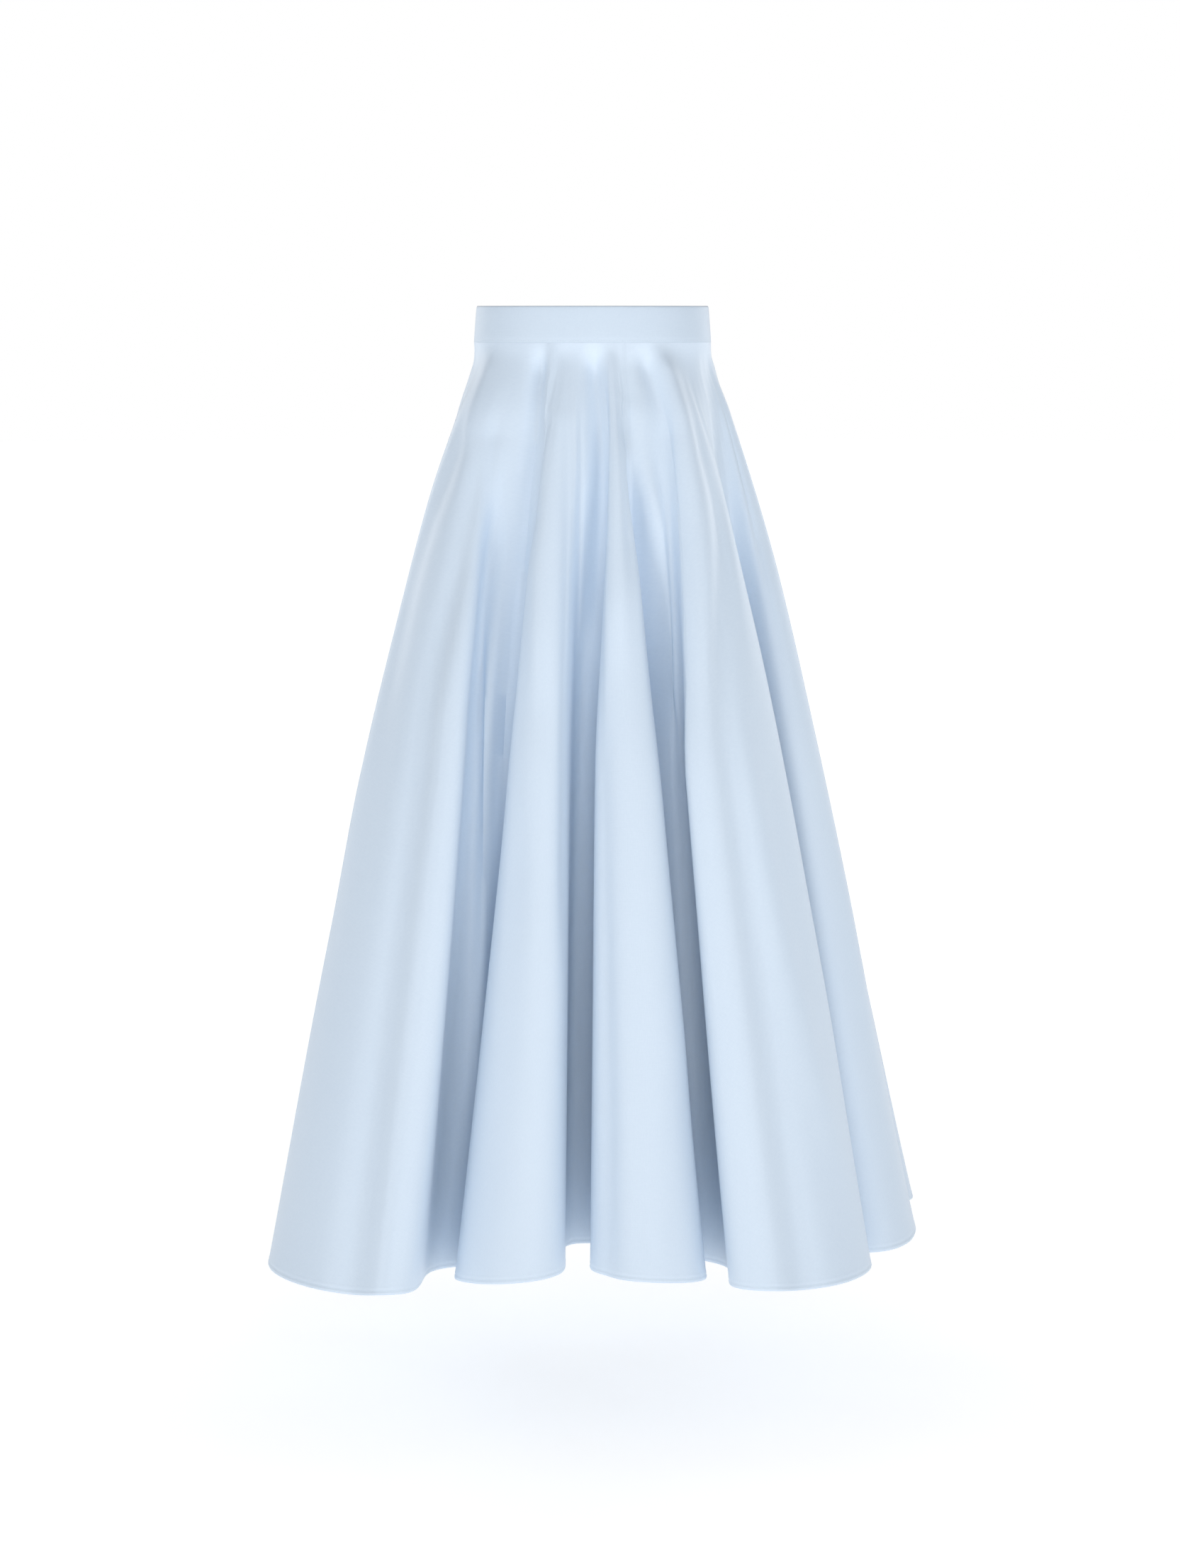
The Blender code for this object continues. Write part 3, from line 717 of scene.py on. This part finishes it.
def satin(name, roughness, deep, pale):
    shader = Shader(name, roughness, Sheen_Weight=0.06, Sheen_Roughness=0.45, Specular_IOR_Level=0.60)
    place = shader.place("cut")
    warp = shader.bands(place, THREADS_PER_METRE, "X")
    weft = shader.bands(place, THREADS_PER_METRE, "Y")
    slub = stretched_noise(shader, place, SLUB)
    cross_slub = stretched_noise(shader, place, SLUB[::-1])
    grain = stretched_noise(shader, place, GRAIN)
    shade = stretched_noise(shader, place, SHADE, detail=3.0)
    light = 0.40 * shade + 0.45 * grain + 0.25 * slub + 0.20 * cross_slub + 0.06 * warp - 0.18
    shader.colour(light, deep, pale)
    shader.roughness(roughness + 0.10 * slub - 0.05)
    shader.bump(0.35 * warp + 0.20 * weft + 0.9 * slub + 0.9 * cross_slub, THREAD_HEIGHT)
    return shader.material


skirt_satin = satin("skirt_satin", 0.46, SATIN_DEEP, SATIN_PALE)
# the band's satin carries painted shade: its colours are darker than the skirt's to offset the light on the
# upright band
band_satin = satin("waistband_satin", 0.50, BAND_SHADED_DEEP, BAND_SHADED_PALE)
print("satin threads", THREADS_PER_METRE, "per metre")

# %% [markdown]
# ## A wall of cloth
#
# Cloth has two faces and an edge. A grid of points for the face and one for the back are joined by a strip
# round all four edges, which makes one closed mesh whose faces point outwards.

# %% A closed wall from two grids
SHARP_EDGE = math.radians(55)


def cloth_wall(name, face, back, flat, material):
    """face and back are (row, column, xyz) grids, flat the (row, column, uv) place on the cut."""
    rows, columns = face.shape[:2]
    index = np.arange(rows * columns).reshape(rows, columns)
    quads = np.stack([index[:-1, :-1], index[1:, :-1], index[1:, 1:], index[:-1, 1:]], axis=-1)
    quads = quads.reshape(-1, 4)
    rim = np.concatenate([index[0, :-1], index[:-1, -1], index[-1, :0:-1], index[:0:-1, 0]])
    after = np.roll(rim, -1)
    edge = np.stack([rim, after, after + rows * columns, rim + rows * columns], axis=-1)
    polygons = np.concatenate([quads, quads[:, ::-1] + rows * columns, edge])
    mesh = bpy.data.meshes.new(name)
    corners = np.concatenate([face.reshape(-1, 3), back.reshape(-1, 3)])
    mesh.from_pydata(corners.tolist(), [], polygons.tolist())
    layer = mesh.uv_layers.new(name="cut")
    places = np.concatenate([flat.reshape(-1, 2)] * 2)
    layer.data.foreach_set("uv", places[polygons.reshape(-1)].astype(np.float32).reshape(-1))
    bm = bmesh.new()
    bm.from_mesh(mesh)
    bmesh.ops.recalc_face_normals(bm, faces=bm.faces)
    bm.to_mesh(mesh)
    bm.free()
    mesh.shade_smooth()
    mesh.set_sharp_from_angle(angle=SHARP_EDGE)
    mesh.materials.append(material)
    return in_scene(name, mesh)


# %% [markdown]
# ## The three panels
#
# The front is a half circle and each back panel a quarter. They meet in the side seams and in the centre
# back seam. A sewn seam pulls the cloth in, so the last few millimetres of each panel turn inwards, and the
# join shows as a fine furrow from waist to hem.

# %% Panels
SEAM_STEPS = np.array((0.0, 0.0006, 0.0016, 0.0032, 0.0060))    # metres from the seam, for extra columns
SEAM_HALF_GAP = 0.00008
SEAM_ROOM = 0.4                         # they stay within this share of the next column's distance
SEAM_TURN = 0.0011                      # how far in the very edge turns
SEAM_TURN_WIDTH = 0.0016
FLAT_ANGLE = {"skirt_front": math.pi, "skirt_back_right": math.pi / 2, "skirt_back_left": math.pi / 2}


def seam_columns(points, normals):
    """Adds columns beside both ends of a panel and turns the ends in."""
    steps = SEAM_STEPS + SEAM_HALF_GAP
    rows, shares = [], []
    for both in np.concatenate([points, normals], axis=2):
        walked = walked_along(both[:, :3])
        total = walked[-1]
        near = np.minimum(steps, SEAM_ROOM * walked[1])
        far = total - np.minimum(steps, SEAM_ROOM * (total - walked[-2]))
        places = np.concatenate([near, walked[1:-1], far[::-1]])
        read = read_at(places, walked, both)
        from_seam = np.minimum(places, total - places) / SEAM_TURN_WIDTH
        read[:, :3] -= SEAM_TURN * np.exp(-from_seam**2)[:, None] * read[:, 3:]
        rows.append(read)
        shares.append(np.interp(places, walked, np.linspace(0, 1, len(both))))
    both = np.array(rows)
    return both[..., :3], both[..., 3:], np.array(shares)


def make_panel(name):
    first, last = PANELS[name]
    columns = np.arange(first * FOLD_COLUMNS, last * FOLD_COLUMNS + 1) % cloth.shape[1]
    middle, out, share = seam_columns(cloth[:, columns], cloth_normals[:, columns])
    face = middle + faces_out[:, None, None] * out
    back = middle - backs_in[:, None, None] * out
    turn = FLAT_ANGLE[name] * (share - 0.5)
    radius = CUT_RADIUS + lengths[:, None]
    flat = np.stack([radius * np.sin(turn), -radius * np.cos(turn)], axis=-1)
    panel = cloth_wall(name + "_cloth", face, back, flat, skirt_satin)
    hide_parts(name)
    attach(panel, "root")
    print(panel.name, "triangles", 2 * len(panel.data.polygons))
    return panel, face[HEM_STITCH_ROW], out[HEM_STITCH_ROW]


panels = {name: make_panel(name) for name in PANELS}

# %% [markdown]
# ## Stitches
#
# A narrow hem is turned up twice and stitched close to its edge. One stitch is a short piece of thread that
# dips into the cloth at both ends. It is modelled once, from a thin rod that is cut into lengths and pinched
# at its ends, and its copies are set end to end along a line of points, as one mesh with few faces each.

# %% One small rod
STITCH_PITCH = 0.0031
BAND_STITCH_PITCH = 0.0027
STITCH_LENGTH = 0.0024
THREAD_RADIUS = 0.00024
ACROSS = (0.0, math.pi / 2, 0.0)        # turns a cylinder's axis from Z to X


def cylinder(name, radius, length, sides):
    """A cylinder along X, its object at the origin and unturned."""
    bpy.ops.object.select_all(action="DESELECT")
    bpy.ops.mesh.primitive_cylinder_add(vertices=sides, radius=radius, depth=length, rotation=ACROSS)
    bpy.context.object.name = name
    bpy.ops.object.transform_apply(location=True, rotation=True, scale=True)
    return bpy.context.object


def rod(name, radius, length, sides, cuts):
    """A rod along X, in edit mode, cut across at shares of its half length."""
    made = cylinder(name, radius, length, sides)
    bpy.ops.object.mode_set(mode="EDIT")
    for cut in cuts:
        bpy.ops.mesh.select_all(action="SELECT")
        bpy.ops.mesh.bisect(plane_co=(cut * length / 2, 0.0, 0.0), plane_no=(1.0, 0.0, 0.0))
    return made


def shape_ends(made, beyond, scale, move):
    """Scales and moves what lies further along X than beyond, at both ends."""
    bpy.ops.mesh.select_mode(type="VERT")
    bpy.ops.mesh.select_all(action="DESELECT")
    bm = bmesh.from_edit_mesh(made.data)
    for corner in bm.verts:
        corner.select_set(abs(corner.co.x) > beyond)
    bm.select_flush_mode()
    bmesh.update_edit_mesh(made.data)
    bpy.ops.transform.resize(value=scale, center_override=(0.0, 0.0, 0.0))
    bpy.ops.transform.translate(value=move)


def taken_corners(made, turned=False):
    """The rod's corners and faces as numbers, and the rod itself is removed. turned lays it along Y."""
    bpy.ops.object.mode_set(mode="OBJECT")
    corners = np.array([corner.co[:] for corner in made.data.vertices])
    faces = [tuple(face.vertices) for face in made.data.polygons]
    bpy.data.objects.remove(made)
    if turned:
        corners = np.stack([-corners[:, 1], corners[:, 0], corners[:, 2]], axis=1)
    return corners, faces


def one_stitch():
    thread_rod = rod("stitch", THREAD_RADIUS, STITCH_LENGTH, 5, cuts=(-0.6, 0.6))
    shape_ends(thread_rod, 0.55 * STITCH_LENGTH / 2, (1.0, 0.9, 0.9), (0.0, 0.0, -0.3 * THREAD_RADIUS))
    shape_ends(thread_rod, 0.9 * STITCH_LENGTH / 2, (1.0, 0.4, 0.4), (0.0, 0.0, -1.2 * THREAD_RADIUS))
    return taken_corners(thread_rod)


stitch = one_stitch()
print("one stitch has", len(stitch[1]), "faces")

# %% Copies along a line
LOOK_ASIDE = 0.3                        # a copy's heading is read this share of a pitch before and after it


def set_along(name, model, line, out, material, pitch):
    """Copies of a small model along a line of points, its X along the line and its Z along out."""
    corners, faces = model
    walked = walked_along(line)
    count = int(walked[-1] / pitch)
    middles = (np.arange(count) + 0.5) * walked[-1] / count
    near = LOOK_ASIDE * pitch
    along = read_at(middles + near, walked, line) - read_at(middles - near, walked, line)
    along /= np.linalg.norm(along, axis=1, keepdims=True)
    side = np.cross(read_at(middles, walked, out), along)
    side /= np.linalg.norm(side, axis=1, keepdims=True)
    frames = np.stack([along, side, np.cross(along, side)], axis=1)
    points = read_at(middles, walked, line)[:, None] + corners @ frames
    polygons = [tuple(i + len(corners) * copy for i in face) for copy in range(count) for face in faces]
    mesh = bpy.data.meshes.new(name)
    mesh.from_pydata(points.reshape(-1, 3).tolist(), [], polygons)
    mesh.shade_smooth()
    mesh.materials.append(material)
    obj = in_scene(name, mesh)
    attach(obj, "root")
    print(name, count, "copies,", count * sum(len(face) - 2 for face in faces), "triangles")
    return obj


def sewing_thread():
    """Twisted thread with a little fuzz, a shade either side of the satin."""
    shader = Shader("sewing_thread", 0.5, Sheen_Weight=0.2)
    fuzz = shader.noise(shader.place(), 1500.0, detail=1.0)
    shader.colour(fuzz, (0.60, 0.72, 0.86), (0.74, 0.85, 0.95))
    shader.bump(fuzz, 0.00004)
    return shader.material


thread = sewing_thread()


def stitches(name, line, out, pitch=STITCH_PITCH):
    return set_along(name, stitch, line, out, thread, pitch)


for name, (panel, line, out) in panels.items():
    stitches(name + "_hem_stitches", line, out)

# %% [markdown]
# ## The waistband
#
# The band is a strip folded lengthwise over a stiff layer, so it is plain, flat and a little thicker than
# the cloth, with a rounded fold at the top. Its section is a short list of heights and offsets, carried
# round the oval of the waist. It stops on both sides of the zip in the middle of the back.

# %% Waistband
BAND_COLUMNS = 240
BAND_SLIT = 0.0012
# share of the height from bottom (0) to top (1), and share of half the wall: the face, then the back
BandRow = namedtuple("BandRow", "height face back")
BAND_ROWS = (
    BandRow(-0.006, 0.66, 0.60),
    BandRow(0.008, 0.88, 0.88),
    BandRow(0.028, 0.98, 0.98),
    BandRow(0.052, 0.84, 0.96),
    BandRow(0.080, 0.98, 0.98),
    BandRow(0.200, 1.02, 1.00),
    BandRow(0.400, 1.06, 1.00),
    BandRow(0.600, 1.08, 1.00),
    BandRow(0.800, 1.04, 1.00),
    BandRow(0.930, 1.00, 1.00),
    BandRow(0.965, 0.90, 0.90),
    BandRow(0.988, 0.62, 0.62),
    BandRow(1.000, 0.15, 0.15),
)
BAND_STITCH_ROW = 3                     # the stitches lie in this furrow


def band_line(height, offset, angles):
    """Points of the waistband at one height, offset outwards from the middle of its wall."""
    lean = 1 + (BAND_TOP_SHARE - 1) * (height / BAND_HEIGHT + 0.5)
    x = WAIST_HALF_WIDTH * lean * np.sin(angles)
    y = -WAIST_HALF_DEPTH * lean * np.cos(angles)
    out = np.stack([x / WAIST_HALF_WIDTH**2, y / WAIST_HALF_DEPTH**2], axis=1)
    out /= np.linalg.norm(out, axis=1, keepdims=True)
    points = np.column_stack([np.stack([x, y], axis=1) + offset * out, np.full(len(angles), height)])
    return points, np.column_stack([out, np.zeros(len(angles))])


def make_waistband():
    half_slit = math.asin(0.5 * BAND_SLIT / WAIST_HALF_WIDTH)
    angles = np.linspace(half_slit - math.pi, math.pi - half_slit, BAND_COLUMNS + 1)
    face, back, flat = [], [], []
    for row in BAND_ROWS[::-1]:
        height = BAND_HEIGHT * (row.height - 0.5)
        face.append(band_line(height, 0.5 * BAND_WALL * row.face, angles)[0])
        back.append(band_line(height, -0.5 * BAND_WALL * row.back, angles)[0])
        flat.append(np.column_stack([walked_along(face[-1]), np.full(len(angles), height)]))
    band = cloth_wall("waistband_cloth", np.array(face), np.array(back), np.array(flat), band_satin)
    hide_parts("waistband")
    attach(band, "root")
    return band, angles


band, band_angles = make_waistband()
furrow = BAND_ROWS[BAND_STITCH_ROW]
furrow_height = BAND_HEIGHT * (furrow.height - 0.5)
stitch_line, stitch_out = band_line(furrow_height, 0.5 * BAND_WALL * furrow.face, band_angles)
band_stitches = stitches("waistband_stitches", stitch_line, stitch_out, BAND_STITCH_PITCH)

# %% [markdown]
# ## The concealed zip: tapes
#
# A concealed zip is sewn inside the centre back seam, so from outside only its pull shows. Its two knitted
# tapes lie against the inside of the band and the panels, one on each side of the seam. They are thin
# sheets, so they are made as the panels are, from lines of points that follow the cloth at a small distance.

# %% Zip tapes
TAPE_WIDTH = 0.011
TAPE_EDGE = 0.0016              # from the centre back to the tape's near edge
TAPE_WALL = 0.0007
TAPE_INSET_CLOTH = 0.0016       # from the middle of the cloth to the tape's near face
TAPE_INSET_BAND = 0.0022        # the same, from the middle of the waistband
TAPE_LENGTH = 0.200             # below the waist seam
TAPE_BELOW_TOP = 0.003
TAPE_COLUMNS = 8
TAPE_SEWN_AT = 0.0065           # how far from the centre back a tape is stitched down
TAPE_ON_CLOTH = 0.008           # it leaves the band and lies on the cloth this far below the seam
NEAR_ZIP_ANGLES = np.linspace(0.0, 0.2, 12)     # enough of the band and of the cloth to hold a tape
NEAR_ZIP_COLUMNS = np.arange(20)
SEAM_COLUMN = PANELS["skirt_back_left"][0] * FOLD_COLUMNS
BAND_HEIGHTS = np.linspace(0.5 * BAND_HEIGHT - TAPE_BELOW_TOP, -0.5 * BAND_HEIGHT, 9)
tape_rows = np.flatnonzero((lengths > TAPE_ON_CLOTH) & (lengths < TAPE_LENGTH))


def walk(points, far):
    """The point or points of a run that lie a given way along it."""
    return read_at(far, walked_along(points), points)


def tape_runs(side, depth):
    """Runs of points beside the centre back, from the top down, depth inside the face they lie on."""
    angles = math.pi + side * NEAR_ZIP_ANGLES
    columns = SEAM_COLUMN + side * NEAR_ZIP_COLUMNS
    runs = [band_line(height, -TAPE_INSET_BAND - depth, angles)[0] for height in BAND_HEIGHTS]
    for row in tape_rows:
        runs.append(cloth[row, columns] - (TAPE_INSET_CLOTH + depth) * cloth_normals[row, columns])
    return runs


def make_tape(name, side, knit):
    fars = np.linspace(TAPE_EDGE, TAPE_EDGE + TAPE_WIDTH, TAPE_COLUMNS)
    near = np.array([walk(run, fars) for run in tape_runs(side, 0.0)])
    away = np.array([walk(run, fars) for run in tape_runs(side, TAPE_WALL)])
    down = walked_along(near[:, 0])
    flat = np.stack(np.meshgrid(fars, -down), axis=-1)
    tape = cloth_wall(name + "_knit", near, away, flat, knit)
    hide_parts(name)
    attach(tape, "root")
    line = np.array([walk(run, TAPE_SEWN_AT) for run in tape_runs(side, TAPE_WALL)])
    inward = line - np.array([walk(run, TAPE_SEWN_AT) for run in tape_runs(side, 0.0)])
    sewn = stitches(name + "_stitches", line, inward / TAPE_WALL)
    return tape, sewn, float(down[-1])


RIBS_PER_METRE = 1100
LOOPS_PER_METRE = 900


def tape_knit():
    """Ribs of a fine warp knit, running down the tape."""
    shader = Shader("zip_tape_knit", 0.75, Sheen_Weight=0.15)
    place = shader.place("cut")
    loops = shader.bands(place, RIBS_PER_METRE, "X") * shader.bands(place, LOOPS_PER_METRE, "Y")
    fuzz = stretched_noise(shader, place, (700.0, 400.0))
    shader.colour(0.4 * loops + 0.6 * fuzz, (0.52, 0.65, 0.80), (0.68, 0.79, 0.90))
    shader.bump(loops + 0.5 * fuzz, 0.00012)
    return shader.material


knit = tape_knit()
tapes = {name: make_tape(name, side, knit) for name, side in (("zip_tape_right", -1), ("zip_tape_left", 1))}
print("tapes", [round(length, 3) for _, _, length in tapes.values()])

# %% [markdown]
# ## The concealed zip: coil
#
# The teeth of a concealed zip are a nylon coil behind the tapes. One turn of it is modelled as a short
# rod whose ends are pinched where the thread holds them, and the same helper that set the stitches in their
# line sets the turns one under another, across the line instead of along it.

# %% Coil
COIL_PITCH = 0.0013
COIL_WIDTH = 0.0040
COIL_RADIUS = 0.00032
COIL_BEHIND = 0.0011            # from the tapes' near face to the middle of the coil
COIL_TOP = 0.010                # height of its first turn, just under the closed slider


def coil_turn():
    """One turn of the coil, lying along Y."""
    turn = rod("coil_turn", COIL_RADIUS, COIL_WIDTH, 6, cuts=(-0.72, -0.45, 0.45, 0.72))
    shape_ends(turn, 0.60 * COIL_WIDTH / 2, (1.0, 0.7, 0.7), (0.0, 0.0, 0.00012))
    return taken_corners(turn, turned=True)


def nylon():
    shader = Shader("coil_nylon", 0.38)
    cloud = shader.noise(shader.place(), 700.0)
    shader.colour(cloud, (0.60, 0.72, 0.84), (0.72, 0.82, 0.91))
    shader.roughness(0.34 + 0.10 * cloud)
    return shader.material


def coil_line():
    band_heights = np.linspace(COIL_TOP, -0.5 * BAND_HEIGHT, 8)
    back = np.array([math.pi])
    points = [band_line(height, -TAPE_INSET_BAND - COIL_BEHIND, back) for height in band_heights]
    line = [point[0] for point, _ in points]
    inward = [-out[0] for _, out in points]
    for row in tape_rows:
        out = cloth_normals[row, SEAM_COLUMN]
        line.append(cloth[row, SEAM_COLUMN] - (TAPE_INSET_CLOTH + COIL_BEHIND) * out)
        inward.append(-out)
    return np.array(line), np.array(inward)


coil = set_along("zip_coil", coil_turn(), *coil_line(), nylon(), COIL_PITCH)

# %% [markdown]
# ## The concealed zip: slider
#
# The slider's body sits behind the tapes and only its bridge passes out through the slit. Both are small
# castings with soft edges. The body is a block narrowed towards its tail, and the bridge is a block whose
# sides are inset and joined through, which leaves a window for the pull's pin. Every edge is bevelled.

# %% Slider
SLIDER_TAPER = 0.72
SLIDER_EDGE = 0.0005
BODY_DEPTH = 0.0024
NECK_WIDTH = 0.0010
NECK_STARTS = 0.0022            # from the body's inner face, so the two overlap
NECK_SHARE = 0.8                # of the bridge's height
NECK_EDGE = 0.0002
BRIDGE_WIDTH = 0.0018
BRIDGE_HEIGHT = 0.0050
BRIDGE_STAND = 0.0030
BRIDGE_BAR = 0.0008
BRIDGE_PLATE = 0.0004
BRIDGE_EDGE = 0.00022
NEAR = 1e-5                     # closer than this counts as the same place
slider_low, slider_high = (np.array(corner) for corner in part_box("zip_slider"))
pull_joint = next(j for j in frame["record"]["behaviour"]["joints"] if j["name"] == "zip_pull_swing")
pin_place = np.array(pull_joint["pos_m"])
bridge_front = slider_high[1] - BRIDGE_STAND


def block(name, low, high):
    """A block between two corners, its object at the origin, in edit mode with nothing selected."""
    bpy.ops.object.select_all(action="DESELECT")
    low, high = np.asarray(low, float), np.asarray(high, float)
    bpy.ops.mesh.primitive_cube_add(size=1.0, location=(low + high) / 2)
    obj = bpy.context.object
    obj.name = name
    obj.scale = high - low
    bpy.ops.object.transform_apply(location=True, rotation=True, scale=True)
    bpy.ops.object.mode_set(mode="EDIT")
    bpy.ops.mesh.select_all(action="DESELECT")
    return obj


def pick(obj, kind, wanted):
    """Selects corners by place, edges by the places of both ends, or faces by middle and normal."""
    bpy.ops.mesh.select_mode(type=kind)
    bpy.ops.mesh.select_all(action="DESELECT")
    bm = bmesh.from_edit_mesh(obj.data)
    if kind == "FACE":
        for face in bm.faces:
            face.select_set(wanted(face.calc_center_median(), face.normal))
    for part in {"EDGE": bm.edges, "VERT": bm.verts}.get(kind, ()):
        corners = part.verts if kind == "EDGE" else [part]
        part.select_set(wanted(*(corner.co for corner in corners)))
    bm.select_flush_mode()
    bmesh.update_edit_mesh(obj.data)


def bevel_all(width, segments=3):
    bpy.ops.mesh.select_mode(type="EDGE")
    bpy.ops.mesh.select_all(action="SELECT")
    bpy.ops.mesh.bevel(offset=width, segments=segments, profile=0.5)
    bpy.ops.object.mode_set(mode="OBJECT")


def slider_body():
    middle = 0.5 * (slider_low[2] + slider_high[2])
    body = block("slider_body", slider_low, (slider_high[0], slider_low[1] + BODY_DEPTH, slider_high[2]))
    pick(body, "VERT", lambda co: co.z < middle)
    bpy.ops.transform.resize(value=(SLIDER_TAPER, 1.0, 1.0), center_override=(0, 0, 0))
    bevel_all(SLIDER_EDGE)
    return body


def slider_bridge():
    """The frame that stands out of the slit, its window open from side to side."""
    half = 0.5 * BRIDGE_WIDTH
    low, high = pin_place[2] - 0.5 * BRIDGE_HEIGHT, pin_place[2] + 0.5 * BRIDGE_HEIGHT
    bridge = block("slider_bridge", (-half, bridge_front, low), (half, slider_high[1], high))
    pick(bridge, "FACE", lambda middle, normal: abs(normal.x) > 0.9)
    bpy.ops.mesh.inset(thickness=BRIDGE_BAR, depth=0.0, use_individual=True)
    bpy.ops.mesh.bridge_edge_loops()
    window = bridge_front + BRIDGE_BAR
    pick(bridge, "VERT", lambda co: abs(co.y - window) < NEAR)
    bpy.ops.transform.translate(value=(0.0, BRIDGE_PLATE - BRIDGE_BAR, 0.0))
    bevel_all(BRIDGE_EDGE, 2)
    return bridge


def slider_neck():
    half, tall = 0.5 * NECK_WIDTH, 0.5 * NECK_SHARE * BRIDGE_HEIGHT
    outside = bridge_front + 0.5 * BRIDGE_PLATE
    low = (-half, slider_low[1] + NECK_STARTS, pin_place[2] - tall)
    neck = block("slider_neck", low, (half, outside, pin_place[2] + tall))
    bevel_all(NECK_EDGE, 2)
    return neck


def joined(name, parts, material, body):
    """Parts joined into one piece that rides on a body."""
    bpy.ops.object.select_all(action="DESELECT")
    for part in parts:
        part.select_set(True)
    bpy.context.view_layer.objects.active = parts[0]
    bpy.ops.object.join()
    piece = bpy.context.object
    piece.name = name
    piece.data.materials.clear()
    piece.data.materials.append(material)
    bpy.ops.object.shade_smooth_by_angle(angle=math.radians(40))
    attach(piece, body)
    print(piece.name, "triangles", sum(len(p.vertices) - 2 for p in piece.data.polygons))
    return piece


def enamel():
    """Satin paint over cast metal: its skin is slightly uneven, and so are its colour and gloss."""
    shader = Shader("enamelled_metal", 0.34, Coat_Weight=0.3, Coat_Roughness=0.2)
    place = shader.place()
    orange_peel = shader.noise(place, 1400.0)
    cloud = shader.noise(place, 260.0, detail=3.0)
    shader.colour(cloud, (0.55, 0.68, 0.82), (0.66, 0.78, 0.89))
    shader.roughness(0.28 + 0.14 * cloud)
    shader.bump(orange_peel, 0.00002)
    return shader.material


zip_enamel = enamel()
slider_parts = [slider_body(), slider_bridge(), slider_neck()]
slider = joined("zip_slider_cast", slider_parts, zip_enamel, "root")
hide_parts("zip_slider")

# %% [markdown]
# ## The concealed zip: pull
#
# The pull hangs by a pin in the bridge's window and swings on it. It is a flat tab: a block whose top is
# extruded into two arms, with rounded lower corners and a shallow panel sunk in each face.

# %% Pull
PULL_LENGTH = 0.0240
PULL_WIDTH = 0.0056
PULL_THICK = 0.0010
PULL_ARM = 0.0012
PULL_WINDOW = 0.0062
PULL_ABOVE_PIN = 0.0008
PULL_REST = math.radians(1.0)
PULL_CORNER = 0.0022
PULL_PANEL = 0.0010
PULL_PANEL_DEPTH = 0.00018
PULL_EDGE = 0.00016
PIN_RADIUS = 0.0004
PIN_SIDES = 14


def pull_tab():
    """The tab and its arms, hanging from the origin along -Z."""
    half, thick = 0.5 * PULL_WIDTH, 0.5 * PULL_THICK
    tab = block("pull_tab", (-half, -thick, -PULL_LENGTH), (half, thick, -PULL_WINDOW))
    for side in (-1, 1):
        bpy.ops.mesh.select_all(action="SELECT")
        bpy.ops.mesh.bisect(plane_co=(side * (half - PULL_ARM), 0, 0), plane_no=(1, 0, 0))
    pick(tab, "FACE", lambda middle, normal: normal.z > 0.9 and abs(middle.x) > half - PULL_ARM)
    bpy.ops.mesh.extrude_region_move(
        TRANSFORM_OT_translate={"value": (0.0, 0.0, PULL_WINDOW + PULL_ABOVE_PIN)})
    pick(tab, "EDGE", lambda a, b: max(a.z, b.z) < NEAR - PULL_LENGTH
         and min(abs(a.x), abs(b.x)) > half - NEAR and abs(a.y - b.y) > thick)
    bpy.ops.mesh.bevel(offset=PULL_CORNER, segments=6, profile=0.5)
    pick(tab, "FACE", lambda middle, normal: abs(normal.y) > 0.9 and middle.z < -PULL_WINDOW)
    bpy.ops.mesh.inset(thickness=PULL_PANEL, depth=-PULL_PANEL_DEPTH)
    bpy.ops.object.mode_set(mode="OBJECT")
    return tab


def hang(piece):
    """Turns the finished pull to its resting lean and sets it on the pin's axis."""
    lean = math.atan2(WAIST_HALF_DEPTH * (1 - BAND_TOP_SHARE), BAND_HEIGHT)
    piece.rotation_euler = (lean + PULL_REST, 0.0, 0.0)
    piece.location = pin_place
    bpy.ops.object.select_all(action="DESELECT")
    piece.select_set(True)
    bpy.context.view_layer.objects.active = piece
    bpy.ops.object.transform_apply(location=True, rotation=True, scale=True)


pull_pin = cylinder("pull_pin", PIN_RADIUS, PULL_WIDTH - PULL_ARM, PIN_SIDES)
pull = joined("zip_pull_tab", [pull_tab(), pull_pin], zip_enamel, "zip_pull")
bevel = pull.modifiers.new("soft edges", "BEVEL")
bevel.width = PULL_EDGE
bevel.segments = 2
bevel.limit_method = "ANGLE"
bpy.ops.object.modifier_apply(modifier=bevel.name)
hang(pull)
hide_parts("zip_pull")

# %% [markdown]
# ## What each sheet was cut to
#
# Every piece of cloth has a UV map in metres, laid out as it was on the cutting table. The front panel is a
# half ring and each back panel a quarter ring.

# %% [markdown]
# ## Floor finish
#
# The floor is a pale matt paint with a barely visible mottling.

# %% Floor paint
FLOOR_GLOW = 0.53               # near the skirt, where the lamps add their own light
FLOOR_GLOW_FAR = 0.84
FLOOR_GLOW_FROM = 1.2
FLOOR_GLOW_TO = 6.0


def floor_paint():
    """Pale matt paint that glows more the further out it lies, so it meets the room without a line."""
    shader = Shader("pale_floor", 0.85, Emission_Strength=1.0)
    place = shader.place()
    far = shader.node("ShaderNodeVectorMath", {"operation": "LENGTH"}, {0: place}).outputs["Value"]
    reach = {"Value": far, "From Min": FLOOR_GLOW_FROM, "From Max": FLOOR_GLOW_TO}
    share = shader.node("ShaderNodeMapRange", {}, reach).outputs[0]
    shader.colour(share, (FLOOR_GLOW,) * 3, (FLOOR_GLOW_FAR,) * 3, "Emission Color")
    shader.colour(shader.noise(place, 1.2), (0.92,) * 3, (0.96,) * 3)
    return shader.material


floor.data.materials.append(floor_paint())
